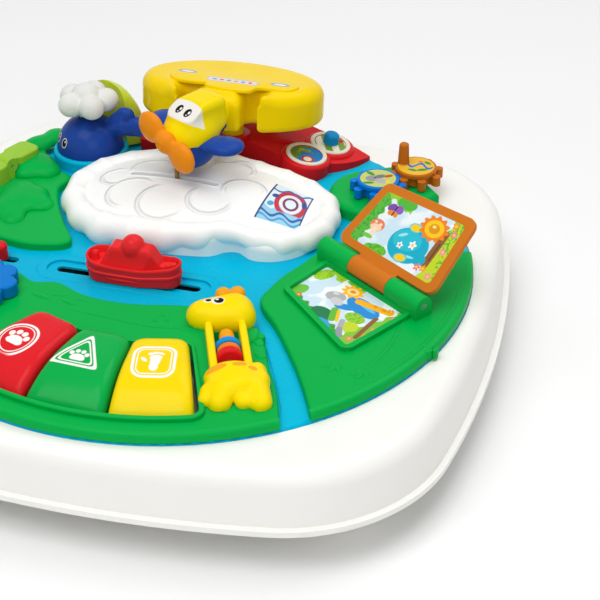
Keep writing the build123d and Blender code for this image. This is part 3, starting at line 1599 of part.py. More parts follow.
with BuildPart() as page_cards:
    add(closed_cards.part.rotate(book_axis, -page_open))
finish(page_cards, "page_cards")

with BuildPart() as book_pin:
    with BuildSketch(book_side):
        Circle(book_pin_r)
    extrude(amount=book_l)
finish(book_pin, "book_pin")
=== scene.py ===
import math
from functools import partialmethod, reduce

import bpy
import numpy as np
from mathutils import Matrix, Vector


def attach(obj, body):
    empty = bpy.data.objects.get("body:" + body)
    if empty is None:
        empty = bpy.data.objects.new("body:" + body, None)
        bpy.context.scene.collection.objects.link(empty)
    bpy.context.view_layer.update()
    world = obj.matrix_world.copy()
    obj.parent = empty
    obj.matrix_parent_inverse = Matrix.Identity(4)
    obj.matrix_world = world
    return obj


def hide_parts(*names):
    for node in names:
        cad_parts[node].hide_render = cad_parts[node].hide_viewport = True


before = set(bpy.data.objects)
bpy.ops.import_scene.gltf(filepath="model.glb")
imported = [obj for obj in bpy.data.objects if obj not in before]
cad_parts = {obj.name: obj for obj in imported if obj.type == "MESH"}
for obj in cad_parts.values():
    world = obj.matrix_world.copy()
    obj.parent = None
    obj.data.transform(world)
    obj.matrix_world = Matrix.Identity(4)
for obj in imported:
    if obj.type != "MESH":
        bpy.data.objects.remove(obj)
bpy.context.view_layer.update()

# Upper housing: one glossy white moulding with a soft shoulder and a turned
# lip. It carries the play panel and hides everything below it.
HOUSING_WHITE = (248, 247, 243)
GRAIN_DEPTH = 0.00006
MOULD_GRAIN = 700
MOTTLE_SCALE = 28
HAZE_SCALE = 45
HAZE_MEAN = 0.07
SHEEN = 0.06


class Wire:
    """One socket of a material's node tree. Arithmetic on it adds Math nodes."""

    def __init__(self, paint, socket):
        self.paint, self.socket = paint, socket

    def maths(self, operation, *others):
        """Math node of this value and the others."""
        return self.paint.node("ShaderNodeMath", {"operation": operation}, [self, *others])

    def __rsub__(self, other):
        """A number less this value."""
        return self.paint.node("ShaderNodeMath", {"operation": "SUBTRACT"}, [other, self])

    __add__ = __radd__ = partialmethod(maths, "ADD")
    __sub__ = partialmethod(maths, "SUBTRACT")
    __mul__ = __rmul__ = partialmethod(maths, "MULTIPLY")
    __abs__ = partialmethod(maths, "ABSOLUTE")
    low = partialmethod(maths, "MINIMUM")
    high = partialmethod(maths, "MAXIMUM")
    sine = partialmethod(maths, "SINE")

    def ramp(self, start, end):
        """0 at start and 1 at end with a smooth step between; start may be the larger."""
        ends = (0.0, 1.0) if start < end else (1.0, 0.0)
        values = [self, min(start, end), max(start, end), *ends]
        return self.paint.node("ShaderNodeMapRange", {"interpolation_type": "SMOOTHSTEP"}, values)

    def below(self, limit, soft=0.25):
        """1 where the value is under limit, with an edge this soft."""
        return self.ramp(limit + soft, limit - soft)

    def above(self, limit, soft=0.25):
        """1 where the value is over limit, with an edge this soft."""
        return self.ramp(limit - soft, limit + soft)


def ink(red, green, blue):
    """A colour given in 0-255 display values, as linear light with alpha 1."""
    display = np.array((red, green, blue)) / 255
    linear = np.where(display <= 0.04045, display / 12.92, ((display + 0.055) / 1.055) ** 2.4)
    return (*(float(value) for value in linear), 1.0)


class Paint:
    """A procedural finish whose nodes are added by type and joined by Wires."""

    def __init__(self, name):
        self.material = bpy.data.materials.new(name)
        self.material.use_nodes = True
        self.tree = self.material.node_tree
        self.tree.nodes.clear()
        self.point = self.node("ShaderNodeTexCoord", output="Object")

    def node(self, kind, settings=None, values=(), output=0):
        """Adds a node, sets it up, fills its inputs by place or name, and gives one of its outputs."""
        made = self.tree.nodes.new(kind)
        for key, value in (settings or {}).items():
            setattr(made, key, value)
        for key, value in values.items() if isinstance(values, dict) else enumerate(values):
            if isinstance(value, Wire):
                self.tree.links.new(value.socket, made.inputs[key])
            else:
                made.inputs[key].default_value = value
        return Wire(self, made.outputs[output]) if made.outputs else None

    def vector(self, operation, *values, output=0):
        """Vector Math node of these values."""
        return self.node("ShaderNodeVectorMath", {"operation": operation}, values, output)

    def along(self, direction, origin=(0, 0, 0)):
        """Distance in millimetres from an origin along a direction, both given in millimetres."""
        aim = np.array(direction, float) / np.linalg.norm(direction)
        reach = self.vector("DOT_PRODUCT", self.point, tuple(aim * 1000), output="Value")
        return reach - float(aim @ np.array(origin, float))

    def above_level(self, level, soft=0.3):
        """1 over a height of the table."""
        return self.along((0, 0, 1)).above(level, soft)

    def noise(self, scale, detail=2.0, roughness=0.5):
        """Fractal noise from 0 to 1, at this many cells to the metre."""
        values = {"Vector": self.point, "Scale": scale, "Detail": detail, "Roughness": roughness}
        return self.node("ShaderNodeTexNoise", {}, values)

    def mix(self, amount, first, second):
        """Colour that goes from first to second as amount goes from 0 to 1."""
        return self.node("ShaderNodeMix", {"data_type": "RGBA"}, {0: amount, 6: first, 7: second}, 2)

    def print_on(self, ground, layers):
        """Lays printed inks over a ground colour one after another, each given as (mask, colour)."""
        for mask, colour in layers:
            ground = self.mix(mask, ground, ink(*colour))
        return ground

    def surface(self, colour, roughness, height=None, depth=GRAIN_DEPTH, strength=0.25, **sockets):
        """The material, with a bump from a height and any other sockets of the Principled shader by name."""
        values = {"Base Color": colour, "Roughness": roughness}
        if height is not None:
            bump = {"Height": height, "Distance": depth, "Strength": strength}
            values["Normal"] = self.node("ShaderNodeBump", {}, bump)
        values.update({key.replace("_", " "): value for key, value in sockets.items()})
        self.node("ShaderNodeOutputMaterial", {}, {"Surface": self.node("ShaderNodeBsdfPrincipled", {}, values)})
        return self.material

    def glossy(self, body, gloss, spread=0.14, grain=MOULD_GRAIN, **sockets):
        """Handling haze round a level of gloss, with fine mould texture."""
        haze = self.noise(HAZE_SCALE, detail=4, roughness=0.6) * spread + (gloss - HAZE_MEAN)
        return self.surface(body, haze, self.noise(grain), **{"Specular_IOR_Level": SHEEN, **sockets})

    def plastic(self, light, deep, gloss, layers=(), **sockets):
        """Moulded plastic: mottled from deep to light, with printed layers."""
        body = self.print_on(self.mix(self.noise(MOTTLE_SCALE, 3), ink(*deep), ink(*light)), layers)
        coat = {"Coat_Weight": 0.02, "Coat_Roughness": 0.1, **sockets}
        return self.glossy(body, gloss, **coat)


def dress(finish, *nodes):
    """Gives these CAD nodes the finish, and hands it on."""
    for node in nodes:
        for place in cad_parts[node].material_slots:
            place.material = finish
    return finish


def moulded(name, colour, *nodes, depth=0.9, gloss=0.2, **sockets):
    """Plain moulded plastic that mottles towards its own colour times depth, on these nodes."""
    deep = tuple(channel * depth for channel in colour)
    return dress(Paint(name).plastic(colour, deep, gloss, **sockets), *nodes)


moulded("housing white", HOUSING_WHITE, "table_body", depth=0.985, gloss=0.34, Specular_IOR_Level=0.3)

# Lower cover, tub, leg sockets and battery door: matt white mouldings under
# the table, held by plated screws, with the switch knob between them.
DRAWING_SCALE = 400
COVER_WHITE = (236, 235, 228)
SOCKET_WHITE = (240, 239, 233)
SWITCH_BLACK = (28, 28, 30)
STEEL = (196, 197, 200)
CONTACT_PLATE = (205, 200, 180)


def metal(name, colour, *nodes, roughness=0.22):
    """Plated metal with fine drawing marks, on these nodes."""
    paint = Paint(name)
    marks = paint.noise(DRAWING_SCALE, 3)
    body = paint.mix(marks, ink(*(0.8 * channel for channel in colour)), ink(*colour))
    finish = paint.surface(body, marks * 0.2 + roughness, marks, depth=0.00005, strength=0.2, Metallic=1.0)
    return dress(finish, *nodes)


moulded("cover white", COVER_WHITE, "bottom_cover", "cover_tub", "battery_door", depth=0.96, gloss=0.5)
moulded("socket white", SOCKET_WHITE, "leg_sockets", depth=0.97, gloss=0.42)
moulded("switch black", SWITCH_BLACK, "power_switch", depth=0.8, gloss=0.45)
metal("zinc screws", STEEL, "cover_screws", "battery_door_screw", roughness=0.3)
metal("pin steel", STEEL, "key_pivots", "jaw_pin", "book_pin")
metal("contact plate", CONTACT_PLATE, "battery_contacts", roughness=0.35)

# Parts shut inside the housing: cells in printed sleeves, a paper-coned
# speaker, a green circuit board, and the pieces below the panel.
RAIL_GLOW = ink(200, 200, 198)
moulded("cell sleeve", (35, 36, 40), "batteries", depth=0.7, gloss=0.35)
moulded("speaker cone", (30, 29, 28), "speaker", depth=0.7, gloss=0.7)
moulded("solder mask", (22, 96, 52), "circuit_board", depth=0.85, gloss=0.4)
moulded("tray white", (228, 228, 222), "key_tray", "boat_retainer", depth=0.95, gloss=0.5)
# The rail's grey emission is painted light: a faint glow that stands in for light coming through the cloud onto it.
glowing = {"Emission_Color": RAIL_GLOW, "Emission_Strength": 0.5}
moulded("rail lit through the cloud", (205, 205, 203), "plane_guide", depth=0.94, gloss=0.5, **glowing)
moulded("switch rubber", (120, 120, 124), "key_domes", depth=0.85, gloss=0.7)
moulded("carriage brass", (158, 122, 64), "plane_carriage", gloss=0.4)
moulded("lamp lens", (250, 190, 90), "cloud_lamp", gloss=0.15)

# Sea deck: the round blue moulding all the toys stand on. Low ripples are
# moulded round the boat's trough, beside it and along the river.
SEA_BLUE = (0, 184, 220)
SEA_DEEP = (0, 176, 214)
CURRENT_SCALE = 9
CURRENT_BAND = (0.35, 0.7)
DECK_TOP = 68.0
BOAT_SLOT = (-27.0, -31.0)
RIPPLE_HALF_L = 66.0
RIPPLE_HALF_W = 15.8
RIPPLE_R = 0.8
RIPPLE_SINK = 0.45
RIVER = [(118, -158), (112, -140), (100, -112), (84, -80), (70, -56)]
WAKE = [(-20, -52), (20, -53), (50, -47), (62, -30), (66, -5)]


def build(name, points, faces, finish, body="table", replaces=(), crease=50):
    """Makes a piece from points in millimetres and its faces, smooth but for edges over the crease angle."""
    mesh = bpy.data.meshes.new(name)
    mesh.from_pydata((np.asarray(points).reshape(-1, 3) / 1000).tolist(), [], faces)
    mesh.shade_smooth()
    mesh.set_sharp_from_angle(angle=math.radians(crease))
    piece = bpy.data.objects.new(name, mesh)
    bpy.context.scene.collection.objects.link(piece)
    mesh.materials.append(finish)
    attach(piece, body)
    if replaces:
        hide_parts(*replaces)


def grid_faces(rows, columns, wrap=True, flip=False):
    """Quads of a grid of points stored row by row; the columns close on themselves where wrap is true."""
    row = np.arange(rows - 1)[:, None] * columns
    column = np.arange(columns if wrap else columns - 1)[None, :]
    beside = (column + 1) % columns
    quads = np.stack([row + column, row + beside, row + beside + columns, row + column + columns], -1).reshape(-1, 4)
    return (quads[:, ::-1] if flip else quads).tolist()


def ends_of(count, sides):
    """Two faces that close a tube of this many rings: its first ring, and its last one turned over."""
    return [list(range(sides)), list(range((count - 1) * sides, count * sides))[::-1]]


def joined_rings(rings):
    """Skin over rings of points that lead back to the first ring: indices past the last point start again."""
    points = rings.reshape(-1, 3)
    faces = np.array(grid_faces(len(rings) + 1, rings.shape[1], flip=True)) % len(points)
    return points, faces.tolist()


def rod(path, radius, sides=10, closed=False):
    """Points and faces of a round rod: at each point of the path, a circle square to the path's run."""
    path = np.asarray(path, float)
    radius = np.broadcast_to(radius, len(path))[:, None, None]
    run = np.roll(path, -1, 0) - np.roll(path, 1, 0) if closed else np.gradient(path, axis=0)
    run /= np.linalg.norm(run, axis=1)[:, None]
    side = np.cross(run, (0, 0, 1))
    side /= np.linalg.norm(side, axis=1)[:, None]
    up = np.cross(side, run)
    turn = np.linspace(0, 2 * np.pi, sides, endpoint=False)[None, :, None]
    rings = path[:, None] + radius * (np.cos(turn) * side[:, None] + np.sin(turn) * up[:, None])
    if closed:
        return joined_rings(rings)
    return rings.reshape(-1, 3), grid_faces(len(path), sides, flip=True) + ends_of(len(path), sides)


def gathered(*shapes):
    """Joins several (points, faces) shapes into one."""
    points, faces, count = [], [], 0
    for shape_points, shape_faces in shapes:
        points.append(np.asarray(shape_points).reshape(-1, 3))
        faces += [[index + count for index in face] for face in shape_faces]
        count += len(points[-1])
    return np.concatenate(points), faces


def spline(corners, count, closed=False):
    """Smooth path through the corners: Catmull-Rom, each span a cubic whose slope at a corner joins its neighbours."""
    corners = np.asarray(corners, float)
    if closed:
        padded = np.concatenate([corners[-1:], corners, corners[:2]])
    else:
        padded = np.concatenate([[2 * corners[0] - corners[1]], corners, [2 * corners[-1] - corners[-2]]])
    spans = len(padded) - 3
    place = np.linspace(0, spans, count, endpoint=not closed)
    span = np.minimum(place.astype(int), spans - 1)
    t = (place - span)[:, None]
    before, start, end, after = (padded[span + step] for step in range(4))
    bend = (2 * before - 5 * start + 4 * end - after) * t**2 + (3 * start - before - 3 * end + after) * t**3
    return start + 0.5 * ((end - before) * t + bend)


def level(corners, z, count):
    """Smooth path at one height."""
    return np.column_stack([spline(corners, count), np.full(count, z)])


def fading(count, most, least=0.1, power=1.0):
    """Radius along a path: the most times a half sine wave to a power, over the least at its ends."""
    return most * np.sin(np.linspace(0, np.pi, count)) ** power + least


def slot_shape(straight, end_l, half_w, steep, count=120):
    """Closed slot shape along x: a cosine, cut off at the sides' half length, moves two half ellipses apart."""
    turn = np.linspace(0, 2 * np.pi, count, endpoint=False)
    x = np.clip(np.cos(turn) * steep, -straight, straight) + end_l * np.cos(turn)
    return np.stack([x, half_w * np.sin(turn)], 1)


water = Paint("sea blue")
drift = water.noise(CURRENT_SCALE).ramp(*CURRENT_BAND)
sea_blue = water.glossy(water.mix(drift, ink(*SEA_DEEP), ink(*SEA_BLUE)), gloss=0.29, spread=0.12, grain=500)
dress(sea_blue, "sea_deck")
ring = BOAT_SLOT + slot_shape(RIPPLE_HALF_L - RIPPLE_HALF_W, RIPPLE_HALF_W, RIPPLE_HALF_W, 40 * RIPPLE_HALF_W)
ripples = gathered(
    rod(np.insert(ring, 2, DECK_TOP - RIPPLE_SINK, axis=1), RIPPLE_R, closed=True),
    rod(level(RIVER, DECK_TOP, 50), fading(50, most=0.6)),
    rod(level(WAKE, DECK_TOP - RIPPLE_SINK, 60), fading(60, most=0.7)),
)
build("sea_ripples", *ripples, sea_blue)

# Green lands: glossy green mouldings round the rim of the deck, with bushes,
# leaves, sprigs and long low swells raised on them.
LAND_GREEN = (0, 174, 74)
LAND_DEEP = (0, 168, 70)
# Lighter green painted on thin edges: a painted highlight along the rims of the lands.
LAND_EDGE_HIGHLIGHT = (30, 186, 84)
EDGE_HIGHLIGHT_BAND = (0.52, 0.6)
EDGE_HIGHLIGHT_SHARE = 0.3
TURF_SCALE = 18
LAND_TOP = 74.0
BUSH_SEAM = 5.0
# name, domes as x, y and radius, and the height of the first dome
BUSHES = [
    ("bush_gate", [(-146, 92, 13), (-136, 84, 11), (-150, 80, 12)], 8),
    ("bush_bank", [(-143, 52, 13), (-130, 46, 12), (-119, 36, 9), (-134, 30, 12), (-146, 22, 11), (-132, 14, 9),
                   (-142, 38, 12)], 6),
    ("bush_north", [(-150, 137, 11), (-158, 124, 10), (-164, 118, 7)], 7),
]
FLANGE_ARCS = [(-163.0, -54.1), (-48.4, 15.5), (142.0, 184.0)]
# radius and height
FLANGE_PROFILE = [(198.5, 67.6), (202.5, 67.6), (202.6, 71.0), (202.1, 72.9), (200.6, 73.9), (198.5, 73.9)]
FLANGE_STEPS = 120
# x, y, length, half width, bearing
LEAVES = [
    (76, -86, 19, 6.5, 78), (82, -83, 8, 3.2, -20), (84, -91, 8, 3, -30), (89, -104, 8, 3.2, -16),
    (90, -112, 8, 3, -24), (-70, -77, 15, 2.2, -12), (-59, -72, 12, 1.8, 6), (-50, -79, 13, 2, -20),
    (-43, -74, 9, 1.6, -8), (135, -106, 7, 2, 60), (139, -104, 7, 2, 95), (131, -103, 7, 2, 25),
    (153, -109, 7, 2, 60), (157, -106, 7, 2, 95), (149, -107, 7, 2, 25), (189, -71, 6, 1.7, 40),
    (193, -68, 6, 1.7, 80), (186, -66, 6, 1.7, 10), (172, -34, 7, 1.9, 50), (177, -32, 7, 1.9, 90),
    (12, -84, 3, 2.2, 0), (19, -82, 3, 2, 40), (15, -77, 3, 2, 0),
]
LEAF_RISE = 0.45
LEAF_SINK = 0.2
# first and last bearing, radius, sway, depth of the middle line, thickness
SWELLS = [(-46, 12, 196, 0, 0.9, 1.4), (-40, -6, 178, 6, 1.1, 1.6)]
LAND_PATH = [(-57, -84), (-30, -88), (10, -91), (38, -88), (48, -99)]


def ball(p, centre, radii):
    """Near distance to an ellipsoid: k (k - 1) / g, with k the length of p over the radii and g its slope."""
    q = p - np.array(centre, float)
    radii = np.broadcast_to(np.array(radii, float), 3)
    k = np.linalg.norm(q / radii, axis=-1)
    return k * (k - 1) / np.maximum(np.linalg.norm(q / radii**2, axis=-1), 1e-9)


def balls(p, *rows):
    """Distances to several ellipsoids, each row a centre and three radii."""
    return [ball(p, row[:3], row[3:]) for row in rows]


def melt(reach, *distances):
    """Smooth least of the distances: where two differ by less than reach, a parabola rounds the seam."""
    total = distances[0]
    for distance in distances[1:]:
        share = np.clip(0.5 + 0.5 * (distance - total) / reach, 0, 1)
        total = distance + (total - distance) * share - reach * share * (1 - share)
    return total


def swell(centre, field, reach, rings=48, sides=96, marches=64, halvings=14):
    """Skin round a centre: on each ray of a polar grid, the outermost place where the field turns from
    outside (positive) to inside, found by even steps inwards and then by halving the last step."""
    tilt = np.linspace(0, np.pi, rings + 2)[:, None]
    turn = np.linspace(0, 2 * np.pi, sides, endpoint=False)[None, :]
    rays = np.stack([np.sin(tilt) * np.cos(turn), np.sin(tilt) * np.sin(turn), np.cos(tilt) + 0 * turn], -1)
    steps = np.linspace(reach, 0, marches)
    centre = np.array(centre, float)
    first = np.argmax(field(centre + rays[:, :, None] * steps[:, None]) < 0, axis=2)
    outer, inner = steps[np.maximum(first - 1, 0)], steps[first]
    for _ in range(halvings):
        middle = (outer + inner) / 2
        deep = field(centre + rays * middle[..., None]) < 0
        inner, outer = np.where(deep, middle, inner), np.where(deep, outer, middle)
    skin = centre + rays * inner[..., None]
    column = np.arange(sides)
    beside = (column + 1) % sides
    last, pole = (rings - 1) * sides, np.full(sides, rings * sides)
    caps = np.concatenate([np.stack([pole, column, beside], 1), np.stack([pole + 1, last + beside, last + column], 1)])
    points = np.concatenate([skin[1:-1].reshape(-1, 3), skin[0, :1], skin[-1, :1]])
    return points, grid_faces(rings, sides, flip=True) + caps.tolist()


def placed(shape, origin, x_dir=(1, 0, 0), z_dir=(0, 0, 1)):
    """Moves a shape from its own frame, with these x and z directions, to its place on the table."""
    x_dir = np.array(x_dir, float) / np.linalg.norm(x_dir)
    z_dir = np.array(z_dir, float) / np.linalg.norm(z_dir)
    points = np.asarray(shape[0]) @ np.stack([x_dir, np.cross(z_dir, x_dir), z_dir]) + np.array(origin, float)
    return points, shape[1]


def aimed_at(bearing, length=1.0):
    """Level direction at a bearing in degrees."""
    return (length * math.cos(math.radians(bearing)), length * math.sin(math.radians(bearing)), 0.0)


def blade(length, width, rows=24, columns=15, depth=6):
    """Leaf pointing along x: its half width is the width times the square root of a half sine wave along it,
    and its height falls as a circle's from the middle vein to the edge."""
    along, across = np.linspace(0, 1, rows)[:, None], np.linspace(-1, 1, columns)[None, :]
    half = width * np.sqrt(np.sin(np.pi * (0.02 + 0.96 * along)))
    arch = np.sqrt(np.clip(1 - across**2, 0, 1)) * np.sqrt(np.sin(np.pi * (0.05 + 0.9 * along)))
    upper = np.stack([length * (along - 0.5) + 0 * across, half * across, width * LEAF_RISE * arch], -1)
    under = upper * (1, 1, 0) - (0, 0, depth)
    place = np.arange(rows * columns).reshape(rows, columns)
    rim = np.concatenate([place[0], place[1:, -1], place[-1, -2::-1], place[-2:0:-1, 0]])
    beside = np.roll(rim, -1)
    top = np.array(grid_faces(rows, columns, wrap=False))
    wall = np.stack([rim + place.size, beside + place.size, beside, rim], 1)
    return np.stack([upper, under]).reshape(-1, 3), np.concatenate([top[:, ::-1], top + place.size, wall]).tolist()


def spun(profile, bearings):
    """Rings of points: each (radius, height) of a profile carried round the z axis to each bearing in degrees."""
    turn = np.radians(bearings)[:, None]
    r, z = np.array(profile, float).T
    return np.stack([np.cos(turn) * r, np.sin(turn) * r, 0 * turn + z], -1)


def ridge(start, end, r, sway, sink, thick, count=40):
    """Long swell: an arc round the table between two bearings, whose radius sways as a sine of the bearing."""
    bearing = np.linspace(start, end, count)
    line = [aimed_at(way, reach) for way, reach in zip(bearing, r + sway * np.sin(bearing / 7))]
    return rod(np.array(line) + (0, 0, LAND_TOP - sink), fading(count, thick, least=0.2, power=0.5))


lawn = Paint("land green")
# Thin, sharp edges turn a lighter green by pointiness: a painted highlight along the rims of the lands.
painted_edge_highlight = lawn.node("ShaderNodeNewGeometry", output="Pointiness").ramp(*EDGE_HIGHLIGHT_BAND) * EDGE_HIGHLIGHT_SHARE
turf = lawn.mix(lawn.noise(TURF_SCALE, 3), ink(*LAND_DEEP), ink(*LAND_GREEN))
land_green = lawn.glossy(lawn.mix(painted_edge_highlight, turf, ink(*LAND_EDGE_HIGHLIGHT)), gloss=0.31, grain=600)
dress(land_green, "front_land", "left_land", "right_land", "gear_mound", "gear_posts", "flower_post")

for bush_name, lobes, height in BUSHES:

    def leafage(p):
        """Domes sunk in the land, joined with soft seams."""
        domes = balls(p, *((x, y, LAND_TOP, r, r, height * r / lobes[0][2]) for x, y, r in lobes))
        return np.maximum(melt(BUSH_SEAM, *domes), LAND_TOP - 1 - p[..., 2])

    base = (*np.array(lobes)[:, :2].mean(0), LAND_TOP + 1)
    build(bush_name, *swell(base, leafage, reach=45), land_green)

flange_faces = grid_faces(FLANGE_STEPS, len(FLANGE_PROFILE), flip=True) + ends_of(FLANGE_STEPS, len(FLANGE_PROFILE))
flange = [(spun(FLANGE_PROFILE, np.linspace(*arc, FLANGE_STEPS)), flange_faces) for arc in FLANGE_ARCS]
build("land_flange", *gathered(*flange), land_green, crease=70)
leaves = [
    placed(blade(length, width), (x, y, LAND_TOP - LEAF_SINK), aimed_at(bearing))
    for x, y, length, width, bearing in LEAVES
]
build("land_leaves", *gathered(*leaves), land_green)
build("land_swells", *gathered(*(ridge(*row) for row in SWELLS)), land_green)
build("land_path", *rod(level(LAND_PATH, LAND_TOP - 0.5, 60), fading(60, most=1.1, power=0.5)), land_green)

# Dash: a red moulding behind the cloud with two sloping round gauges and the
# column of the steering wheel. The gauges are printed discs in raised rings.
DASH_RED = (226, 32, 38)
FACE_RED = (196, 28, 36)
FACE_DEEP = (178, 22, 32)
DOT_RED = (206, 34, 40)
CREAM = (240, 232, 206)
HOOP_CREAM = (238, 236, 216)
GAUGE = (51.0, 147.0)
DIAL = (63.0, 173.5)
FACE_R = 13.0
GAUGE_DOTS = [
    (2.5, -6, 4.8, 4.8, 0, DOT_RED), (2.5, -6, 3.2, 3.2, 0, CREAM), (-5.2, 5.6, 2.4, 1.6, 30, (150, 196, 60)),
]
DASH_TOP = 88.0
DASH_RIDGE = 10.0
SLOPE = math.radians(11.0)
SLOPE_X = (math.cos(SLOPE), 0, -math.sin(SLOPE))
SLOPE_UP = (math.sin(SLOPE), 0, math.cos(SLOPE))
# radius and height over the slope
DRUM_PROFILE = [(14, -16), (19.5, -16), (19.5, 0), (19.1, 1.2), (18, 2.1), (16.6, 2.4), (14, 2.4)]
HOOP_PROFILE = [(12.5, 1.2), (15.9, 1.2), (15.9, 3), (15.5, 3.6), (14.6, 3.8), (13.4, 3.7), (12.6, 3.2)]
DASH_RIB = [((24, 158), 0.4), ((32, 160), 0.8), ((38, 160), 0.8)]
PRINT_SOFT = 0.25


def sloped(place, lift=0.0):
    """Point over a place of the dash's right-hand slope."""
    x, y = place
    return np.array((x, y, DASH_TOP - (x - DASH_RIDGE) * math.tan(SLOPE))) + lift * np.array(SLOPE_UP)


class Print(Paint):
    """A finish with a printed design, drawn in millimetres on a flat frame of two directions."""

    def lay_out(self, origin, x_dir=(1, 0, 0), y_dir=(0, 1, 0)):
        """Sets the frame; the design reads its own two distances from here on."""
        self.u, self.v = self.along(x_dir, origin), self.along(y_dir, origin)
        self.flat = self.node("ShaderNodeCombineXYZ", {}, [self.u, self.v, 0.0])

    def local(self, centre, half=(1, 1), turn=0.0):
        """Place in the design, moved and turned to this middle and divided by these halves."""
        values = {"Location": (*centre, 0), "Rotation": (0, 0, math.radians(turn)), "Scale": (*half, 1)}
        return self.node("ShaderNodeMapping", {"vector_type": "TEXTURE"}, {"Vector": self.flat, **values})

    def length(self, place):
        """Square root of the sum of a place's squares."""
        return self.vector("LENGTH", place, output="Value")

    def radius(self, centre=(0, 0)):
        """Distance from a point of the design."""
        return self.vector("DISTANCE", self.flat, (*centre, 0), output="Value")

    def blob(self, centre, half, turn=0.0):
        """1 inside an ellipse: the place over its halves is under 1 long."""
        half = half if isinstance(half, tuple) else (half, half)
        return self.length(self.local(centre, half, turn)).below(1.0, PRINT_SOFT / min(half))

    def panel(self, centre, half, corner_r, turn=0.0):
        """Distance to a rectangle with round corners: the length of what lies outside its halves less the radius."""
        side = self.vector("ABSOLUTE", self.local(centre, turn=turn))
        past = self.vector("SUBTRACT", side, (half[0] - corner_r, half[1] - corner_r, 0))
        return self.length(self.vector("MAXIMUM", past, (0, 0, 0))) - corner_r

    def stroke(self, start, end, half_w):
        """1 inside a round-ended line: a rectangle whose corner radius is its half width."""
        run = np.subtract(end, start)
        half = (float(np.hypot(*run)) / 2 + half_w, half_w)
        turn = math.degrees(math.atan2(run[1], run[0]))
        return self.panel(tuple(np.add(start, end) / 2), half, half_w, turn).below(0.0)

    def petals(self, centre, half, count, depth=0.22):
        """1 inside a flower: the length over its halves is under 1, less the depth times a wave of the bearing."""
        half = half if isinstance(half, tuple) else (half, half)
        unit = self.local(centre, half)
        across = self.node("ShaderNodeSeparateXYZ", {}, [unit])
        upward = Wire(self, across.socket.node.outputs["Y"])
        wave = (upward.maths("ARCTAN2", across) * count).sine()
        return (self.length(unit) - wave * depth).below(1.0 - depth, PRINT_SOFT / min(half))

    def dots(self, rows, within=None):
        """Layers of ellipses, each row a middle, two halves, a turn and a colour, kept inside a mask."""
        for x, y, half_x, half_y, turn, colour in rows:
            mask = self.blob((x, y), (half_x, half_y), turn)
            yield mask if within is None else mask * within, colour

    def lines(self, rows):
        """Layers of strokes, each row a start, an end, a half width and a colour."""
        for x, y, end_x, end_y, half_w, colour in rows:
            yield self.stroke((x, y), (end_x, end_y), half_w), colour


def gauge_paint():
    """Printed disc: green with a blue swirl, a pale arc and a small pointer dot."""
    paint = Print("gauge face")
    paint.lay_out(sloped(GAUGE, 1.2), SLOPE_X)
    out = paint.radius()
    swirl = (paint.u * 0.35 + (paint.v * 0.4 + out * 0.5).sine() * 1.6).above(0.0, 0.4)
    arc = abs(out - 6.6).below(1.2)
    layers = [
        (out.below(FACE_R), (108, 146, 48)),
        (out.below(FACE_R) * swirl, (24, 124, 196)),
        (arc * paint.v.above(-1.0, 0.8) * paint.u.below(1.5), (132, 172, 60)),
        *paint.dots(GAUGE_DOTS),
    ]
    return paint.plastic(FACE_RED, FACE_DEEP, gloss=0.25, layers=layers)


def dial_paint():
    """Turning disc with its blue knob: the knob is told from the disc by its height over the slope."""
    paint = Print("dial face and knob")
    paint.lay_out(sloped(DIAL, 2.0), SLOPE_X)
    height = paint.along(SLOPE_UP, sloped(DIAL))
    out = paint.radius()
    lean = (paint.u * 0.5 + paint.v * 0.25).sine().above(0.0, 0.3)
    layers = [
        (out.below(FACE_R), (120, 160, 60)),
        (out.below(FACE_R) * lean, (240, 236, 214)),
        (paint.blob((6.4, 7.0), 2.4), DOT_RED),
        (height.above(3.6) * out.below(9.0), (16, 140, 204)),
    ]
    return paint.plastic(FACE_RED, FACE_DEEP, gloss=0.25, layers=layers)


def on_gauges(profile):
    """Two rings turned from a profile, one round each gauge."""
    ring = joined_rings(spun(profile, np.linspace(0, 360, 96, endpoint=False)))
    return gathered(*(placed(ring, sloped(place), SLOPE_X, SLOPE_UP) for place in (GAUGE, DIAL)))


dash_red = moulded("dash red", DASH_RED, "dash_base", depth=0.92, gloss=0.24)
dress(gauge_paint(), "dash_gauge")
dress(dial_paint(), "dash_dial")
build("gauge_hoops", *on_gauges(HOOP_PROFILE), moulded("hoop cream", HOOP_CREAM, depth=0.96, gloss=0.3))
build("gauge_drums", *on_gauges(DRUM_PROFILE), dash_red)
build("dash_rib", *rod(spline([sloped(*row) for row in DASH_RIB], 20), radius=1.6, sides=12), dash_red)

# Steering wheel: a wide yellow bean-shaped moulding with two finger notches,
# a raised hub on its face, two printed labels and a printed strip.
WHEEL_YELLOW = (250, 220, 2)
WHEEL_DEEP = (240, 200, 0)
WHEEL = (-10.0, 160.0, 134.0)
WHEEL_TILT = math.radians(7.4)
WHEEL_Y = (0, math.cos(WHEEL_TILT), -math.sin(WHEEL_TILT))
WHEEL_UP = (0, math.sin(WHEEL_TILT), math.cos(WHEEL_TILT))
HUB_CORNERS = [
    (-46, -12), (-40, -22), (-28, -25), (-14, -24), (-12, -30), (4, -34), (22, -32), (26, -24), (32, -22),
    (48, -22), (55, -12), (48, -3), (30, -1), (22, 3), (-20, 4), (-30, 2), (-43, -2),
]
WHEEL_LABELS = [(-34.5, -4.5), (40.5, -11.9)]
LABEL_RIM = (150, 168, 186)
LABEL_FACE = (236, 236, 236)
STRIP_RIM = (196, 186, 196)
STRIP_FACE = (226, 218, 222)
STRIP_DOTS = [(70, 160, 200), (230, 70, 60), (80, 170, 90), (236, 150, 40), (70, 160, 200), (230, 70, 60)]


